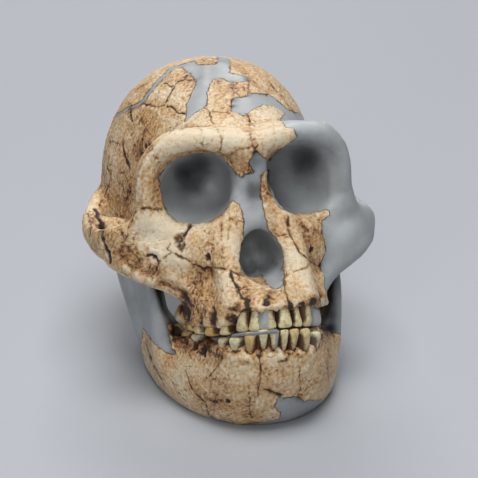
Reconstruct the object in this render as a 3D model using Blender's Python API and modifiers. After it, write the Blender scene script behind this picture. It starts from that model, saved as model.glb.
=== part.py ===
"""Life-size museum cast of a fossil hominin skull, cranium and lower jaw together.

The cast stands on its lower jaw with the face tipped up a little. Its face
looks to -Y, its own left side is +X, and the floor it stands on is z = 0. The
cranium is laid out in its ear frame (origin between the ear holes, Z square to
the line from ear hole to lower eye rim) and then tipped into place. The jaw is
laid out on the floor. Sizes are in millimetres and become metres in the mesh.
"""

import math

import bmesh
import bpy
import numpy as np
from mathutils import Matrix, Vector

for old in list(bpy.data.objects):
    bpy.data.objects.remove(old, do_unlink=True)

MM = 0.001
FACE_TIP = math.radians(15.0)
EAR_BACK = 140.9
EAR_HEIGHT = 77.7
MIDDLE_BACK = 100.15
GAP = 0.3

VAULT_FULLNESS = 2.3
VAULT_WALL = 4.0
ORBIT_WIDTH = 38.0
ORBIT_HEIGHT = 39.5
ORBIT_OUT = 29.4
NOSE_HALF_WIDTH = 12.2
ARCADE_CENTRE = -80.0

# Roll of the jaw joint, inner end to outer end, on the floor frame: place and radii.
JOINT_ROLL = (
    (47.5, 124.5, 67.5, 3.5, 4.5, 4.6),
    (57.0, 124.5, 68.4, 6.0, 5.0, 5.0),
    (66.0, 125.0, 67.5, 3.5, 4.5, 4.4),
)
# Teeth from the middle to the back: out, back, length along the row, breadth.
UPPER_TEETH = (
    (4.9, -1.4, 9.6, 8.0),
    (11.7, 1.0, 7.6, 7.4),
    (18.2, 5.6, 9.6, 10.5),
    (24.0, 12.4, 9.0, 12.2),
    (28.3, 20.6, 9.2, 12.8),
    (31.6, 31.0, 12.4, 13.8),
    (33.9, 44.0, 13.4, 14.8),
    (34.6, 57.4, 12.8, 14.4),
)
LOWER_TEETH = (
    (3.0, -2.6, 6.0, 7.6),
    (8.8, -1.6, 6.6, 8.0),
    (14.7, 1.4, 9.0, 10.4),
    (20.2, 7.2, 9.2, 10.8),
    (24.9, 15.2, 9.8, 11.2),
    (29.0, 26.0, 13.0, 12.6),
    (32.2, 39.8, 14.2, 13.4),
    (34.6, 54.2, 14.4, 13.0),
)
# The lower right first molar is lost, counted from the middle with side -1.
LOST_LOWER_TOOTH = (5, -1.0)
# Where the two rows meet: height at the front and fall for each mm back.
BITE_HEIGHT = 62.0
BITE_FALL = 0.345
UPPER_LEAN = (4.6, 4.4, 3.6, 1.4, 0.6, 0.0, 0.0, 0.0)
LOWER_LEAN = (2.4, 2.4, 2.0, 1.0, 0.4, 0.0, 0.0, 0.0)
UPPER_CROWNS = (10.5, 10.0, 10.5, 9.0, 8.0, 7.2, 6.8, 6.4)
LOWER_CROWNS = (12.8, 12.6, 11.8, 9.8, 9.0, 7.8, 7.4, 7.0)

CLAY_VOXEL = 1.7
CRANIUM_TRIANGLES = 6200
JAW_TRIANGLES = 2500

scene = bpy.context.scene
scene.unit_settings.scale_length = 1.0
skull = bpy.data.collections.new("fossil_skull_cast")
scene.collection.children.link(skull)
cutters = bpy.data.collections.new("cutters")
scene.collection.children.link(cutters)

to_floor = Matrix.Translation((0.0, EAR_BACK - MIDDLE_BACK, EAR_HEIGHT)) @ Matrix.Rotation(-FACE_TIP, 4, "X")
jaw_to_floor = Matrix.Translation((0.0, -MIDDLE_BACK, 0.0))


# Small tools.
def make_object(name, bm, group):
    """Store a bmesh, given in millimetres, as an object in metres."""
    bmesh.ops.recalc_face_normals(bm, faces=bm.faces[:])
    bmesh.ops.scale(bm, vec=(MM, MM, MM), verts=bm.verts[:])
    mesh = bpy.data.meshes.new(name)
    bm.to_mesh(mesh)
    bm.free()
    thing = bpy.data.objects.new(name, mesh)
    group.objects.link(thing)
    return thing


def make_cutter(name, bm):
    """Store a bmesh as a wire cutter that stays out of the render."""
    thing = make_object(name, bm, cutters)
    thing.hide_render = True
    thing.display_type = "WIRE"
    return thing


def apply_all(thing):
    """Turn an object's modifiers into plain mesh."""
    graph = bpy.context.evaluated_depsgraph_get()
    baked = bpy.data.meshes.new_from_object(thing.evaluated_get(graph))
    thing.modifiers.clear()
    thing.data = baked


def drop(thing):
    bpy.data.objects.remove(thing, do_unlink=True)


def combine(thing, other, how):
    """Apply one exact Boolean and remove the other object."""
    step = thing.modifiers.new(how.lower(), "BOOLEAN")
    step.operation = how
    step.solver = "EXACT"
    step.object = other
    apply_all(thing)
    drop(other)


def keep_largest(thing):
    """Keep only the largest closed surface of a mesh."""
    bm = bmesh.new()
    bm.from_mesh(thing.data)
    bm.faces.ensure_lookup_table()
    seen = set()
    best = []
    for face in bm.faces:
        if face.index in seen:
            continue
        island = []
        queue = [face]
        seen.add(face.index)
        while queue:
            here = queue.pop()
            island.append(here)
            for edge in here.edges:
                for beside in edge.link_faces:
                    if beside.index not in seen:
                        seen.add(beside.index)
                        queue.append(beside)
        if len(island) > len(best):
            best = island
    keep = set(best)
    loose = [face for face in bm.faces if face not in keep]
    bmesh.ops.delete(bm, geom=loose, context="FACES")
    bm.to_mesh(thing.data)
    bm.free()


def spline(rows, count):
    """Even samples of a smooth curve through rows of numbers."""
    rows = np.array(rows, float)
    padded = np.vstack([2 * rows[0] - rows[1], rows, 2 * rows[-1] - rows[-2]])
    result = []
    for step in range(count):
        where = step * (len(rows) - 1) / (count - 1)
        span = min(int(where), len(rows) - 2)
        t = where - span
        a, b, c, d = padded[span:span + 4]
        value = b + 0.5 * t * (c - a)
        value = value + t * t * (a - 2.5 * b + 2.0 * c - 0.5 * d)
        value = value + t * t * t * (1.5 * b - 1.5 * c + 0.5 * d - 0.5 * a)
        result.append(value)
    return result


def add_bead(bm, centre, radii, turn=0.0):
    """One ellipsoid of clay, turned about Z by a number of degrees."""
    place = Matrix.Translation(centre) @ Matrix.Rotation(math.radians(turn), 4, "Z")
    stretch = Matrix.Diagonal((radii[0], radii[1], radii[2], 1.0))
    bmesh.ops.create_icosphere(bm, subdivisions=2, radius=1.0, matrix=place @ stretch)


def add_both(bm, centre, radii, turn=0.0):
    """The same bead on the left and on the right."""
    add_bead(bm, centre, radii, turn)
    add_bead(bm, (-centre[0], centre[1], centre[2]), radii, -turn)


def add_string(bm, rows, count, both=True):
    """Beads along a smooth line; a row holds a place and three radii."""
    for row in spline(rows, count):
        if both:
            add_both(bm, row[:3], row[3:6])
        else:
            add_bead(bm, row[:3], row[3:6])


def add_loft(bm, rings):
    """A closed skin over rings of equal length, with fan caps."""
    loops = []
    for ring in rings:
        loops.append([bm.verts.new(point) for point in ring])
    size = len(loops[0])
    for first, second in zip(loops, loops[1:]):
        for i in range(size):
            j = (i + 1) % size
            bm.faces.new((first[i], first[j], second[j], second[i]))
    for loop in (loops[0], loops[-1]):
        middle = Vector((0.0, 0.0, 0.0))
        for vertex in loop:
            middle += vertex.co / size
        hub = bm.verts.new(middle)
        for i in range(size):
            bm.faces.new((loop[i], loop[(i + 1) % size], hub))


def bend(value, power):
    """A signed power, for the rounded corners of a superellipse."""
    return math.copysign(abs(value) ** power, value)


def clay(name, bm, voxel, rounds):
    """Fuse overlapping closed shapes into one skin and smooth it."""
    thing = make_object(name, bm, skull)
    remesh = thing.modifiers.new("fuse", "REMESH")
    remesh.mode = "VOXEL"
    remesh.voxel_size = voxel * MM
    smooth = thing.modifiers.new("smooth", "SMOOTH")
    smooth.factor = 0.5
    smooth.iterations = rounds
    apply_all(thing)
    keep_largest(thing)
    return thing


def stroke(thing, rows, width, height, both=True):
    """Raise or sink a soft ridge along a line, as a thumb does in clay."""
    mesh = thing.data
    count = len(mesh.vertices)
    place = np.empty(count * 3, np.float32)
    normal = np.empty(count * 3, np.float32)
    mesh.vertices.foreach_get("co", place)
    mesh.vertices.foreach_get("normal", normal)
    place = place.reshape(-1, 3).astype(float)
    normal = normal.reshape(-1, 3)
    line = np.array(spline(rows, 8 * len(rows))) * MM
    sides = (1.0, -1.0) if both else (1.0,)
    for side in sides:
        near = np.full(count, 1e9)
        for point in line:
            away = place - point * np.array((side, 1.0, 1.0))
            near = np.minimum(near, (away ** 2).sum(axis=1))
        push = height * MM * np.exp(-near / (width * MM) ** 2)
        place = place + normal * push[:, None]
    mesh.vertices.foreach_set("co", place.astype(np.float32).ravel())
    mesh.update()


def thin(thing, triangles):
    """Reduce a mesh to about a number of triangles."""
    bm = bmesh.new()
    bm.from_mesh(thing.data)
    bmesh.ops.triangulate(bm, faces=bm.faces[:])
    have = len(bm.faces)
    bm.to_mesh(thing.data)
    bm.free()
    step = thing.modifiers.new("thin", "DECIMATE")
    step.ratio = min(1.0, triangles / have)
    apply_all(thing)
    keep_largest(thing)


def half_space(point, normal):
    """A large block that fills the side a plane's normal points to."""
    block = bmesh.new()
    facing = Vector(normal).normalized()
    turn = facing.to_track_quat("Z", "Y").to_matrix().to_4x4()
    centre = Vector(point) + facing * (300.0 + 0.5 * GAP)
    bmesh.ops.create_cube(block, size=600.0, matrix=Matrix.Translation(centre) @ turn)
    return make_cutter("half_space", block)


def paint(thing, colour, roughness):
    material = bpy.data.materials.new(thing.name)
    material.use_nodes = True
    shader = material.node_tree.nodes["Principled BSDF"]
    shader.inputs["Base Color"].default_value = (*colour, 1.0)
    shader.inputs["Roughness"].default_value = roughness
    shader.inputs["Metallic"].default_value = 0.0
    thing.data.materials.clear()
    thing.data.materials.append(material)
    thing.data.shade_smooth()


# Braincase.
# Each row is a slice from front to back: Y, top, half width, height of the
# widest place, bottom.
VAULT = (
    (-92.0, 45.0, 28.0, 20.0, 5.0),
    (-84.0, 52.0, 36.5, 16.0, -6.0),
    (-75.0, 59.0, 38.0, 12.0, -13.0),
    (-62.0, 67.5, 42.0, 9.0, -17.0),
    (-48.0, 75.0, 48.0, 6.0, -18.0),
    (-34.0, 80.5, 54.0, 4.0, -19.0),
    (-20.0, 84.2, 59.0, 3.0, -19.0),
    (-5.0, 86.3, 63.0, 3.0, -20.0),
    (10.0, 85.6, 64.0, 4.0, -20.0),
    (22.0, 82.0, 62.5, 6.0, -19.0),
    (33.0, 75.5, 58.0, 8.0, -15.0),
    (43.0, 65.5, 50.0, 11.0, -10.0),
    (51.0, 53.5, 40.0, 14.0, -4.0),
    (57.0, 39.5, 28.0, 17.0, 3.0),
    (60.5, 25.0, 10.0, 20.0, 14.0),
)


def vault_rings(inset, first, last, base_extra):
    """Rounded slices of the braincase, drawn in by a wall's thickness."""
    rings = []
    for row in spline(VAULT[first:last], 30):
        back, top, half, wide, bottom = row
        half = half - inset
        top = top - inset
        bottom = bottom + inset + base_extra
        ring = []
        for i in range(40):
            turn = 2.0 * math.pi * i / 40
            out = half * bend(math.cos(turn), 2.0 / VAULT_FULLNESS)
            rise = bend(math.sin(turn), 2.0 / VAULT_FULLNESS)
            up = wide + rise * (top - wide if rise > 0.0 else wide - bottom)
            ring.append((out, back, up))
        rings.append(ring)
    return rings


body = bmesh.new()
add_loft(body, vault_rings(0.0, 0, len(VAULT), 0.0))
# Low midline crest, root of the cheek arch, shelf above the ear and neck crest.
add_string(body, ((0, -42, 74, 9, 6, 3.5), (0, -12, 81.5, 8, 6, 4), (0, 12, 82.0, 7, 6, 4.5),
                  (0, 30, 74.5, 6, 6, 4.5), (0, 45, 58, 6, 6, 5)), 26, False)
add_string(body, ((74, -10, 1, 4, 6, 5), (68.5, 2, 5, 6, 8, 6), (63, 16, 7, 7, 8, 7), (53.5, 33, 8, 8, 8, 7),
                  (41, 46, 7, 9, 7, 7), (22, 54, 6, 10, 6, 7), (0, 57, 6, 10, 5, 7)), 30)
# Breast-shaped process behind each ear, ear tube and the joint's front roll.
add_string(body, ((59, 16, 0, 11, 12, 9), (58, 13, -12, 10, 11, 9), (56, 9, -23, 7, 8, 6)), 8)
add_string(body, ((44, -1, -12, 8, 5, 6), (64, 1, -5, 6, 5, 5)), 6)
add_string(body, ((42, -20, -12, 9, 7, 6), (58, -22, -9, 9, 7, 6), (71, -20, -3, 5, 8, 5)), 8)
# Base from the back of the palate to the neck hole.
add_string(body, ((0, -62, -12, 15, 10, 12), (0, -40, -16, 14, 10, 10), (0, -18, -20, 13, 10, 7),
                  (0, -4, -21, 15, 8, 5)), 12, False)
add_string(body, ((17, -63, -20, 6, 8, 14), (18, -58, -30, 5, 7, 14)), 5)
add_string(body, ((24, -50, -14, 12, 12, 8), (38, -38, -12, 12, 12, 7)), 5)
add_both(body, (13, -2, -23), (5, 9, 4), 25.0)

# Upper face.
# Brow bar, glabella, outer pillar of each eye and the funnel behind the eye.
add_string(body, ((0, -98.5, 40, 7, 7, 7.5), (13, -98.5, 43, 7, 6.5, 6.5), (27, -95.5, 45.5, 7, 6.5, 5.5),
                  (41, -91, 43.5, 7, 7, 6), (50.5, -87, 36.5, 6, 7.5, 6), (54.7, -84, 26, 5.2, 8, 6),
                  (55.2, -82, 14, 5, 8, 6), (57, -80, 2, 7, 8, 7)), 34)
add_string(body, ((0, -91, 44, 20, 8, 7), (24, -88, 46, 12, 8, 6), (38, -84, 42, 10, 8, 7)), 8)
add_string(body, ((0, -96.5, 34, 10, 7, 7), (0, -96, 24, 9.5, 7, 7), (0, -98, 12, 9.5, 7, 7),
                  (0, -101.5, 2, 11, 6, 6), (0, -103, -3.5, 10, 4, 4)), 18, False)
add_string(body, ((28.5, -83, 20, 24.5, 7, 23.5), (26.5, -75, 18, 21.5, 8, 21.5), (21, -62, 16, 18, 8, 18)), 10)

# Upper jaw: level slices with a rounded front, each with height, half width,
# front and back.
JAW_SLICES = (
    (-48.0, 37.6, -138.0, -66.0),
    (-43.0, 38.4, -138.0, -66.0),
    (-37.0, 37.0, -133.0, -67.0),
    (-31.0, 34.6, -125.0, -68.0),
    (-24.0, 32.4, -115.5, -67.0),
    (-12.0, 29.0, -107.0, -66.0),
    (2.0, 23.0, -99.5, -68.0),
)
SLICE_CORNERS = 44
# The gum line rises to the front, on the slices below this height.
GUM_TOP = -37.0
GUM_BACK = -98.0
GUM_RUN = 32.0
GUM_LIFT = 0.42

rings = []
for up, half, front, back in JAW_SLICES:
    ring = []
    middle = min(ARCADE_CENTRE, front + 0.68 * (ARCADE_CENTRE - front) + 12.0)
    for i in range(SLICE_CORNERS):
        turn = 2.0 * math.pi * i / SLICE_CORNERS
        out = half * bend(math.cos(turn), 0.95)
        deep = math.sin(turn)
        where = middle + deep * (middle - front)
        if deep > 0.0:
            where = middle + bend(deep, 0.9) * (back - middle)
        forward = min(1.0, max(0.0, (GUM_BACK - where) / GUM_RUN))
        ring.append((out, where, up + GUM_LIFT * max(0.0, GUM_TOP - up) * forward))
    rings.append(ring)
add_loft(body, rings)

# Pillars beside the nose up to the inner eye corners, eye rims, cheek plates.
add_string(body, ((19, -119, -38, 7, 9, 6), (18, -111.5, -27, 8, 8, 7), (18, -105, -16, 8.5, 7.5, 8),
                  (16, -99.5, -4, 8, 7, 8), (12.5, -97, 7, 6, 6, 7)), 20)
add_string(body, ((12, -97, 12, 4, 4.5, 6), (15, -96, 4, 5, 5, 5.5), (22, -92, -3, 6, 5, 5.5),
                  (33, -88.5, -5.5, 6, 5.5, 5.5), (44, -85.5, -3, 6, 6, 6), (53, -82.5, 4, 6, 6.5, 6.5)), 20)
add_string(body, ((25, -95, -14, 12, 9, 15), (36, -88.5, -17, 12, 8.5, 17), (47, -83, -15.5, 11, 8, 15.5),
                  (57, -77.5, -12, 9, 8, 13), (65, -71.5, -10.5, 7, 7, 11)), 16)
# Lower edge of the cheek, running from the jaw out into the arch.
add_string(body, ((35, -93, -37, 6, 8, 8), (44, -86.5, -31, 6, 7, 7), (54, -80.5, -27, 6, 6.5, 6.5),
                  (64, -74, -22, 6, 6.5, 7), (72, -65.5, -17, 5.5, 6.5, 7)), 18)
add_string(body, ((60, -77, -5, 8, 7, 9), (68.5, -70, -8.5, 6.5, 6.5, 10), (75.2, -59, -10.5, 4.8, 7, 9.5),
                  (78.2, -45, -9, 4, 7, 8), (79, -30, -6, 3.8, 7, 6.6), (77.4, -16, -2.5, 3.8, 7, 5.8),
                  (73.5, -6, 2, 4.5, 6, 5)), 26)

cranium = clay("cranium", body, CLAY_VOXEL, 12)

# Strokes.
# Lines that the thumb follows: temple lines, hollows and swellings.
TEMPLE_LINE = ((46, -88, 48), (33, -84, 54), (25, -76, 59), (16, -62, 68), (9, -45, 76), (4, -25, 83))
stroke(cranium, TEMPLE_LINE, 3.5, 1.3)
stroke(cranium, ((36, -89, -10), (38, -86, -20)), 9.0, -2.2)
stroke(cranium, ((21, -123, -44), (21, -119, -36), (18.5, -113, -26)), 4.5, 1.6)
stroke(cranium, ((8, -136, -44), (7, -130, -37)), 4.0, 0.8)
stroke(cranium, ((13.5, -133, -44), (13, -126, -36)), 3.0, -0.9)
stroke(cranium, ((30, -118, -42), (30, -110, -32)), 5.0, -1.4)
stroke(cranium, ((0, -93, 50), (14, -91, 52)), 7.0, -1.2)
stroke(cranium, ((60, -76, 10), (52, -74, 20)), 6.0, -1.0)

# Hollows.
# The eye hollow: distance back from the rim, share of the rim's size, shift
# out, shift down.
EYE_RINGS = (
    (-30.0, 1.12, 4.0, 0.0),
    (-4.0, 1.0, 0.5, 0.0),
    (1.0, 0.985, 0.0, 0.0),
    (7.0, 0.98, -1.5, 0.0),
    (18.0, 0.84, -5.0, 0.5),
    (27.0, 0.6, -9.5, 1.0),
    (33.0, 0.32, -13.0, 2.0),
    (36.0, 0.12, -14.5, 2.0),
)
EYE_CORNERS = 36

eye = bmesh.new()
for side in (1.0, -1.0):
    rings = []
    for back, share, shift, sink in EYE_RINGS:
        ring = []
        for i in range(EYE_CORNERS):
            turn = 2.0 * math.pi * i / EYE_CORNERS
            out = 0.5 * ORBIT_WIDTH * share * bend(math.cos(turn), 0.78)
            up = 0.5 * ORBIT_HEIGHT * share * bend(math.sin(turn), 0.82)
            # the rim leans: top forward, outer corner back and a little low
            lean = -0.28 * up + 0.26 * out
            rim = -94.0 + lean * max(0.0, 1.0 - back / 40.0)
            drop_out = -0.07 * out
            ring.append((side * (ORBIT_OUT + out + shift), rim + back, 19.4 + up + drop_out - sink))
        rings.append(ring)
    add_loft(eye, rings)
combine(cranium, make_cutter("eye_hollow", eye), "DIFFERENCE")

# Pear-shaped nose opening: depth back, share of size.
NOSE_RINGS = ((-30.0, 1.06), (0.0, 1.0), (10.0, 1.0), (21.0, 0.9), (29.0, 0.6))
NOSE_CORNERS = 32

nose = bmesh.new()
rings = []
for back, share in NOSE_RINGS:
    ring = []
    for i in range(NOSE_CORNERS):
        turn = 2.0 * math.pi * i / NOSE_CORNERS
        up = math.sin(turn)
        broad = NOSE_HALF_WIDTH * (1.0 - 0.34 * max(0.0, up) - 0.06 * min(0.0, up))
        out = share * broad * bend(math.cos(turn), 0.85)
        rise = -17.5 + share * (14.2 * up if up > 0.0 else 13.8 * up)
        ring.append((out, -112.0 + back - 0.42 * rise, rise))
    rings.append(ring)
add_loft(nose, rings)
combine(cranium, make_cutter("nose_hollow", nose), "DIFFERENCE")

# Roof of the mouth, braincase hollow and the neck hole that opens it.
palate = bmesh.new()
add_string(palate, ((0, -119, -46, 15, 8, 7), (0, -106, -45, 21, 12, 10), (0, -88, -45, 23, 14, 12),
                    (0, -66, -46, 23, 14, 13)), 12, False)
roof = clay("palate", palate, 1.8, 2)
cutters.objects.link(roof)
skull.objects.unlink(roof)
combine(cranium, roof, "DIFFERENCE")

brain = bmesh.new()
add_loft(brain, vault_rings(VAULT_WALL, 2, len(VAULT) - 1, 1.0))
hollow = make_cutter("brain_hollow", brain)
# In front its floor climbs, to pass over the roofs of the eyes.
combine(hollow, half_space((0, -40, -14), (0, 2.2, 1.0)), "INTERSECT")
neck = bmesh.new()
NECK_HOLE = (13.5, 16.0)
place = Matrix.Translation((0, 11, -22)) @ Matrix.Rotation(math.radians(8), 4, "X")
place = place @ Matrix.Diagonal((NECK_HOLE[0], NECK_HOLE[1], 1.0, 1.0))
bmesh.ops.create_cone(neck, cap_ends=True, segments=28, radius1=1.0, radius2=1.0, depth=40.0, matrix=place)
combine(hollow, make_cutter("neck_hole", neck), "UNION")
combine(cranium, hollow, "DIFFERENCE")
keep_largest(cranium)
remesh = cranium.modifiers.new("skin", "REMESH")
remesh.mode = "VOXEL"
remesh.voxel_size = 1.4 * MM
smooth = cranium.modifiers.new("smooth", "SMOOTH")
smooth.factor = 0.5
smooth.iterations = 3
apply_all(cranium)
keep_largest(cranium)
thin(cranium, CRANIUM_TRIANGLES)

# Lower jaw.
# Each row is one cut through the jaw, from the chin to the back: crest x, y,
# height, thickness; base x, y, thickness. The crest carries the teeth.
CHIN_TO_BACK = (
    (0.0, -1.2, 51.0, 14.5, 0.0, 15.5, 20.0),
    (8.0, 0.0, 50.8, 14.5, 10.0, 16.5, 19.0),
    (15.8, 4.4, 49.6, 15.0, 19.5, 21.0, 17.0),
    (22.0, 12.6, 47.4, 14.5, 27.5, 28.5, 16.0),
    (27.5, 24.0, 44.5, 15.0, 34.5, 38.0, 15.5),
    (31.5, 36.0, 42.0, 16.5, 40.0, 51.0, 15.0),
    (35.5, 49.0, 39.0, 17.0, 44.0, 64.0, 14.0),
    (40.0, 62.0, 37.0, 15.0, 46.5, 77.0, 12.0),
    (44.0, 75.0, 36.0, 12.0, 48.0, 96.0, 10.0),
)
JAW_CUTS = 26
JAW_CORNERS = 28
BODY_BULGE = 0.42
INNER_BULGE_SHARE = 0.75

jaw = bmesh.new()
cuts = spline(CHIN_TO_BACK, JAW_CUTS)
for side in (1.0, -1.0):
    rings = []
    for step, cut in enumerate(cuts):
        crest_x, crest_y, crest_height, crest_thick, base_x, base_y, base_thick = cut
        following = cuts[min(step + 1, JAW_CUTS - 1)]
        before = cuts[max(step - 1, 0)]
        # the two halves meet square to the midline
        heading = Vector((1.0, 0.0))
        if step > 0:
            along_x = following[0] - before[0] + following[4] - before[4]
            along_y = following[1] - before[1] + following[5] - before[5]
            heading = Vector((along_x, along_y)).normalized()
        across = Vector((heading.y, -heading.x))
        ring = []
        for i in range(JAW_CORNERS):
            turn = 2.0 * math.pi * i / JAW_CORNERS
            lower = math.sin(turn) < 0.0
            out = 0.5 * bend(math.cos(turn), 0.45 if lower else 0.7)
            share = 0.5 + 0.5 * bend(math.sin(turn), 0.6 if lower else 0.75)
            swell = BODY_BULGE * math.sin(math.pi * min(1.0, share * 1.15))
            if out < 0.0:
                swell = swell * INNER_BULGE_SHARE
            thick = (crest_thick * share + base_thick * (1.0 - share)) * (1.0 + swell)
            x = crest_x * share + base_x * (1.0 - share) + across.x * out * thick
            y = crest_y * share + base_y * (1.0 - share) + across.y * out * thick
            ring.append((side * x, y, crest_height * share))
        rings.append(ring)
    add_loft(jaw, rings)

# Branches: from the tooth row and the corner up to the hook and the joint.
add_string(jaw, ((44, 63, 30, 7, 9, 9), (48, 66, 45, 4.8, 8, 9), (50, 71, 60, 4.5, 8, 9),
                 (51, 78, 73, 4, 7.5, 9), (51.5, 83, 84, 3.4, 6, 6), (51.5, 86, 91, 2.6, 4, 4)), 24)
add_string(jaw, ((48, 90, 12, 5.5, 14, 12), (51.5, 96, 24, 4.8, 15, 12), (55.5, 102, 38, 4.4, 14, 12),
                 (58.5, 112, 51, 4.4, 10, 11), (59, 121, 62, 6, 6, 7)), 24)
add_string(jaw, ((45, 78, 14, 6, 14, 14), (48, 82, 30, 5, 17, 14), (51.5, 87, 44, 4.4, 17, 12),
                 (54, 91, 57, 4, 15, 9)), 22)
add_string(jaw, ((44.5, 57, 22, 8, 10, 12), (48, 60, 34, 6.2, 7, 10), (50.5, 60, 48, 4.2, 4.5, 8),
                 (51.5, 66, 60, 3.4, 4.5, 7), (51.5, 75, 74, 3.2, 4.5, 7)), 20)
add_string(jaw, ((40, 67, 33, 6, 7, 5), (46.6, 70, 45, 3.6, 6, 6), (49.5, 73, 57, 3.8, 6, 7),
                 (51, 79, 72, 3.5, 6, 7)), 16)
add_string(jaw, JOINT_ROLL, 12)
mandible = clay("mandible", jaw, 1.5, 6)

stroke(mandible, ((17.5, 2, 47), (21, 9, 34), (23, 17, 22)), 5.0, 1.2)
stroke(mandible, ((30, 22, 26), (33, 33, 22)), 8.0, -1.6)
stroke(mandible, ((47, 62, 36), (47, 58, 26), (44, 50, 16)), 6.0, 1.5)
stroke(mandible, ((0, -2, 26), (9, 0, 27)), 6.0, -0.8)
thin(mandible, JAW_TRIANGLES)


# On the floor.
def settle(thing, frame):
    """Move a mesh from its own millimetre frame to the floor frame."""
    move = frame.copy()
    move.translation = frame.translation * MM
    thing.data.transform(move)


def split(thing, point, normal, name):
    """Part a piece along a plane with a thin gap; the far side gets the name."""
    far = thing.copy()
    far.data = thing.data.copy()
    far.name = name
    skull.objects.link(far)
    combine(far, half_space(point, normal), "INTERSECT")
    combine(thing, half_space(point, [-value for value in normal]), "INTERSECT")
    keep_largest(far)
    return far


settle(cranium, to_floor)
settle(mandible, jaw_to_floor)

# The jaw stands on narrow flats along its lower edge.
mandible.data.transform(Matrix.Translation((0.0, 0.0, -0.7 * MM)))
combine(mandible, half_space((0, 0, -0.5 * GAP), (0, 0, 1)), "INTERSECT")

# Sockets under the skull for the two joint rolls, one gap wider than the rolls.
for side in (1.0, -1.0):
    hollow = bmesh.new()
    rows = []
    for row in JOINT_ROLL:
        rows.append((side * row[0], row[1], row[2], row[3] + 1.6, row[4] + 1.3, row[5] + 1.1))
    add_string(hollow, rows, 9, False)
    socket = clay("joint_socket", hollow, 1.0, 1)
    socket.modifiers.new("thin", "DECIMATE").ratio = 0.2
    apply_all(socket)
    settle(socket, jaw_to_floor)
    combine(cranium, socket, "DIFFERENCE")
keep_largest(cranium)


def on_skull(point):
    """A point of the ear frame, in floor millimetres."""
    return to_floor @ Vector(point)


tipped = to_floor.to_3x3()
braincase = cranium
face = split(braincase, on_skull((0, -72, 10)), tipped @ Vector((0, -1.0, -0.26)), "upper_jaw")
brow = split(face, on_skull((0, -90, 9.5)), tipped @ Vector((0, 0, 1.0)), "brow_and_eye_rims")
arches = []
cheeks = []
for side, word in ((1.0, "left"), (-1.0, "right")):
    cheek_cut = tipped @ Vector((side, -0.2, 0))
    cheeks.append(split(face, on_skull((side * 45, -85, 0)), cheek_cut, "cheek_" + word))
    arch_cut = tipped @ Vector((side, -0.25, 0))
    arches.append(split(braincase, on_skull((side * 67.5, -30, 0)), arch_cut, "cheek_arch_" + word))
keep_largest(face)
keep_largest(braincase)
braincase.name = "braincase"
branches = []
for side, word in ((1.0, "left"), (-1.0, "right")):
    foot = Vector((side * 44, 58 - MIDDLE_BACK, 0))
    branches.append(split(mandible, foot, (side * 0.55, 0.835, 0), "lower_jaw_branch_" + word))
keep_largest(mandible)
mandible.name = "lower_jaw_body"


# Teeth.
def add_tooth(group, row, number, side, crowns, upper):
    """One tooth: a crown with a waist at the gum line and a root in the bone."""
    out, back, long, broad = row[number]
    before = row[number - 1] if number else (-row[0][0], row[0][1])
    after = row[min(number + 1, len(row) - 1)]
    along = Vector((after[0] - before[0], after[1] - before[1])).normalized()
    across = Vector((along.y, -along.x))
    crown = crowns[number]
    front = number < 3
    lean = (UPPER_LEAN if upper else LOWER_LEAN)[number]
    bite = BITE_HEIGHT - BITE_FALL * back + (0.25 if upper else -0.25)
    if front:
        root = 1.2 if upper else 1.5
        levels = ((0.0, 0.88, 0.36), (0.22, 0.98, 0.6), (0.5, 1.0, 0.9), (1.0, 0.74, 0.88), (root, 0.55, 0.6))
    else:
        levels = ((0.0, 0.78, 0.74), (0.18, 0.96, 0.92), (0.5, 1.0, 1.0), (1.0, 0.86, 0.88), (1.6, 0.6, 0.62))
    bm = bmesh.new()
    rings = []
    for depth, length_share, breadth_share in levels:
        ring = []
        for i in range(8):
            turn = 2.0 * math.pi * (i + 0.5) / 8
            a = 0.5 * long * length_share * bend(math.cos(turn), 0.75)
            b = 0.5 * broad * breadth_share * bend(math.sin(turn), 0.8) - lean * depth
            x = out + along.x * a + across.x * b
            y = back + along.y * a + across.y * b
            # the biting face follows the slope of the row
            z = bite + (1.0 if upper else -1.0) * depth * crown - BITE_FALL * (y - back) * max(0.0, 1.0 - depth)
            ring.append((side * x, y - MIDDLE_BACK, z))
        rings.append(ring)
    add_loft(bm, rings)
    return make_object("tooth", bm, group)


def set_teeth(bone, row, crowns, upper):
    """Fuse a whole row of teeth to its bone in one union."""
    group = bpy.data.collections.new("teeth")
    scene.collection.children.link(group)
    for number in range(len(row)):
        for side in (1.0, -1.0):
            if upper or (number, side) != LOST_LOWER_TOOTH:
                add_tooth(group, row, number, side, crowns, upper)
    step = bone.modifiers.new("teeth", "BOOLEAN")
    step.operation = "UNION"
    step.solver = "MANIFOLD"
    step.operand_type = "COLLECTION"
    step.collection = group
    apply_all(bone)
    for tooth in list(group.objects):
        drop(tooth)
    bpy.data.collections.remove(group)
    keep_largest(bone)


set_teeth(face, UPPER_TEETH, UPPER_CROWNS, True)
set_teeth(mandible, LOWER_TEETH, LOWER_CROWNS, False)

BONE = (0.55, 0.40, 0.26)
FILLER = (0.22, 0.24, 0.25)
for thing in list(skull.objects):
    grey = "branch" in thing.name or thing.name.endswith("_left")
    paint(thing, FILLER if grey else BONE, 0.6)
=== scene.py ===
"""Looks of a life-size museum cast of a fossil hominin skull, cranium and lower jaw.

The cast is painted resin: brown, cracked bone pieces held in smooth grey filler.
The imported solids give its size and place. Each skin here is grown from copies of
them, then gets its cracks, steps and pits in the mesh and its paint in the
material. Lengths are in metres, except where a name says millimetres or pixels.
"""

import math
import random

import bmesh
import bpy
import numpy as np
from mathutils import Matrix, Vector, noise
from mathutils.bvhtree import BVHTree
from mathutils.kdtree import KDTree


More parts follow.
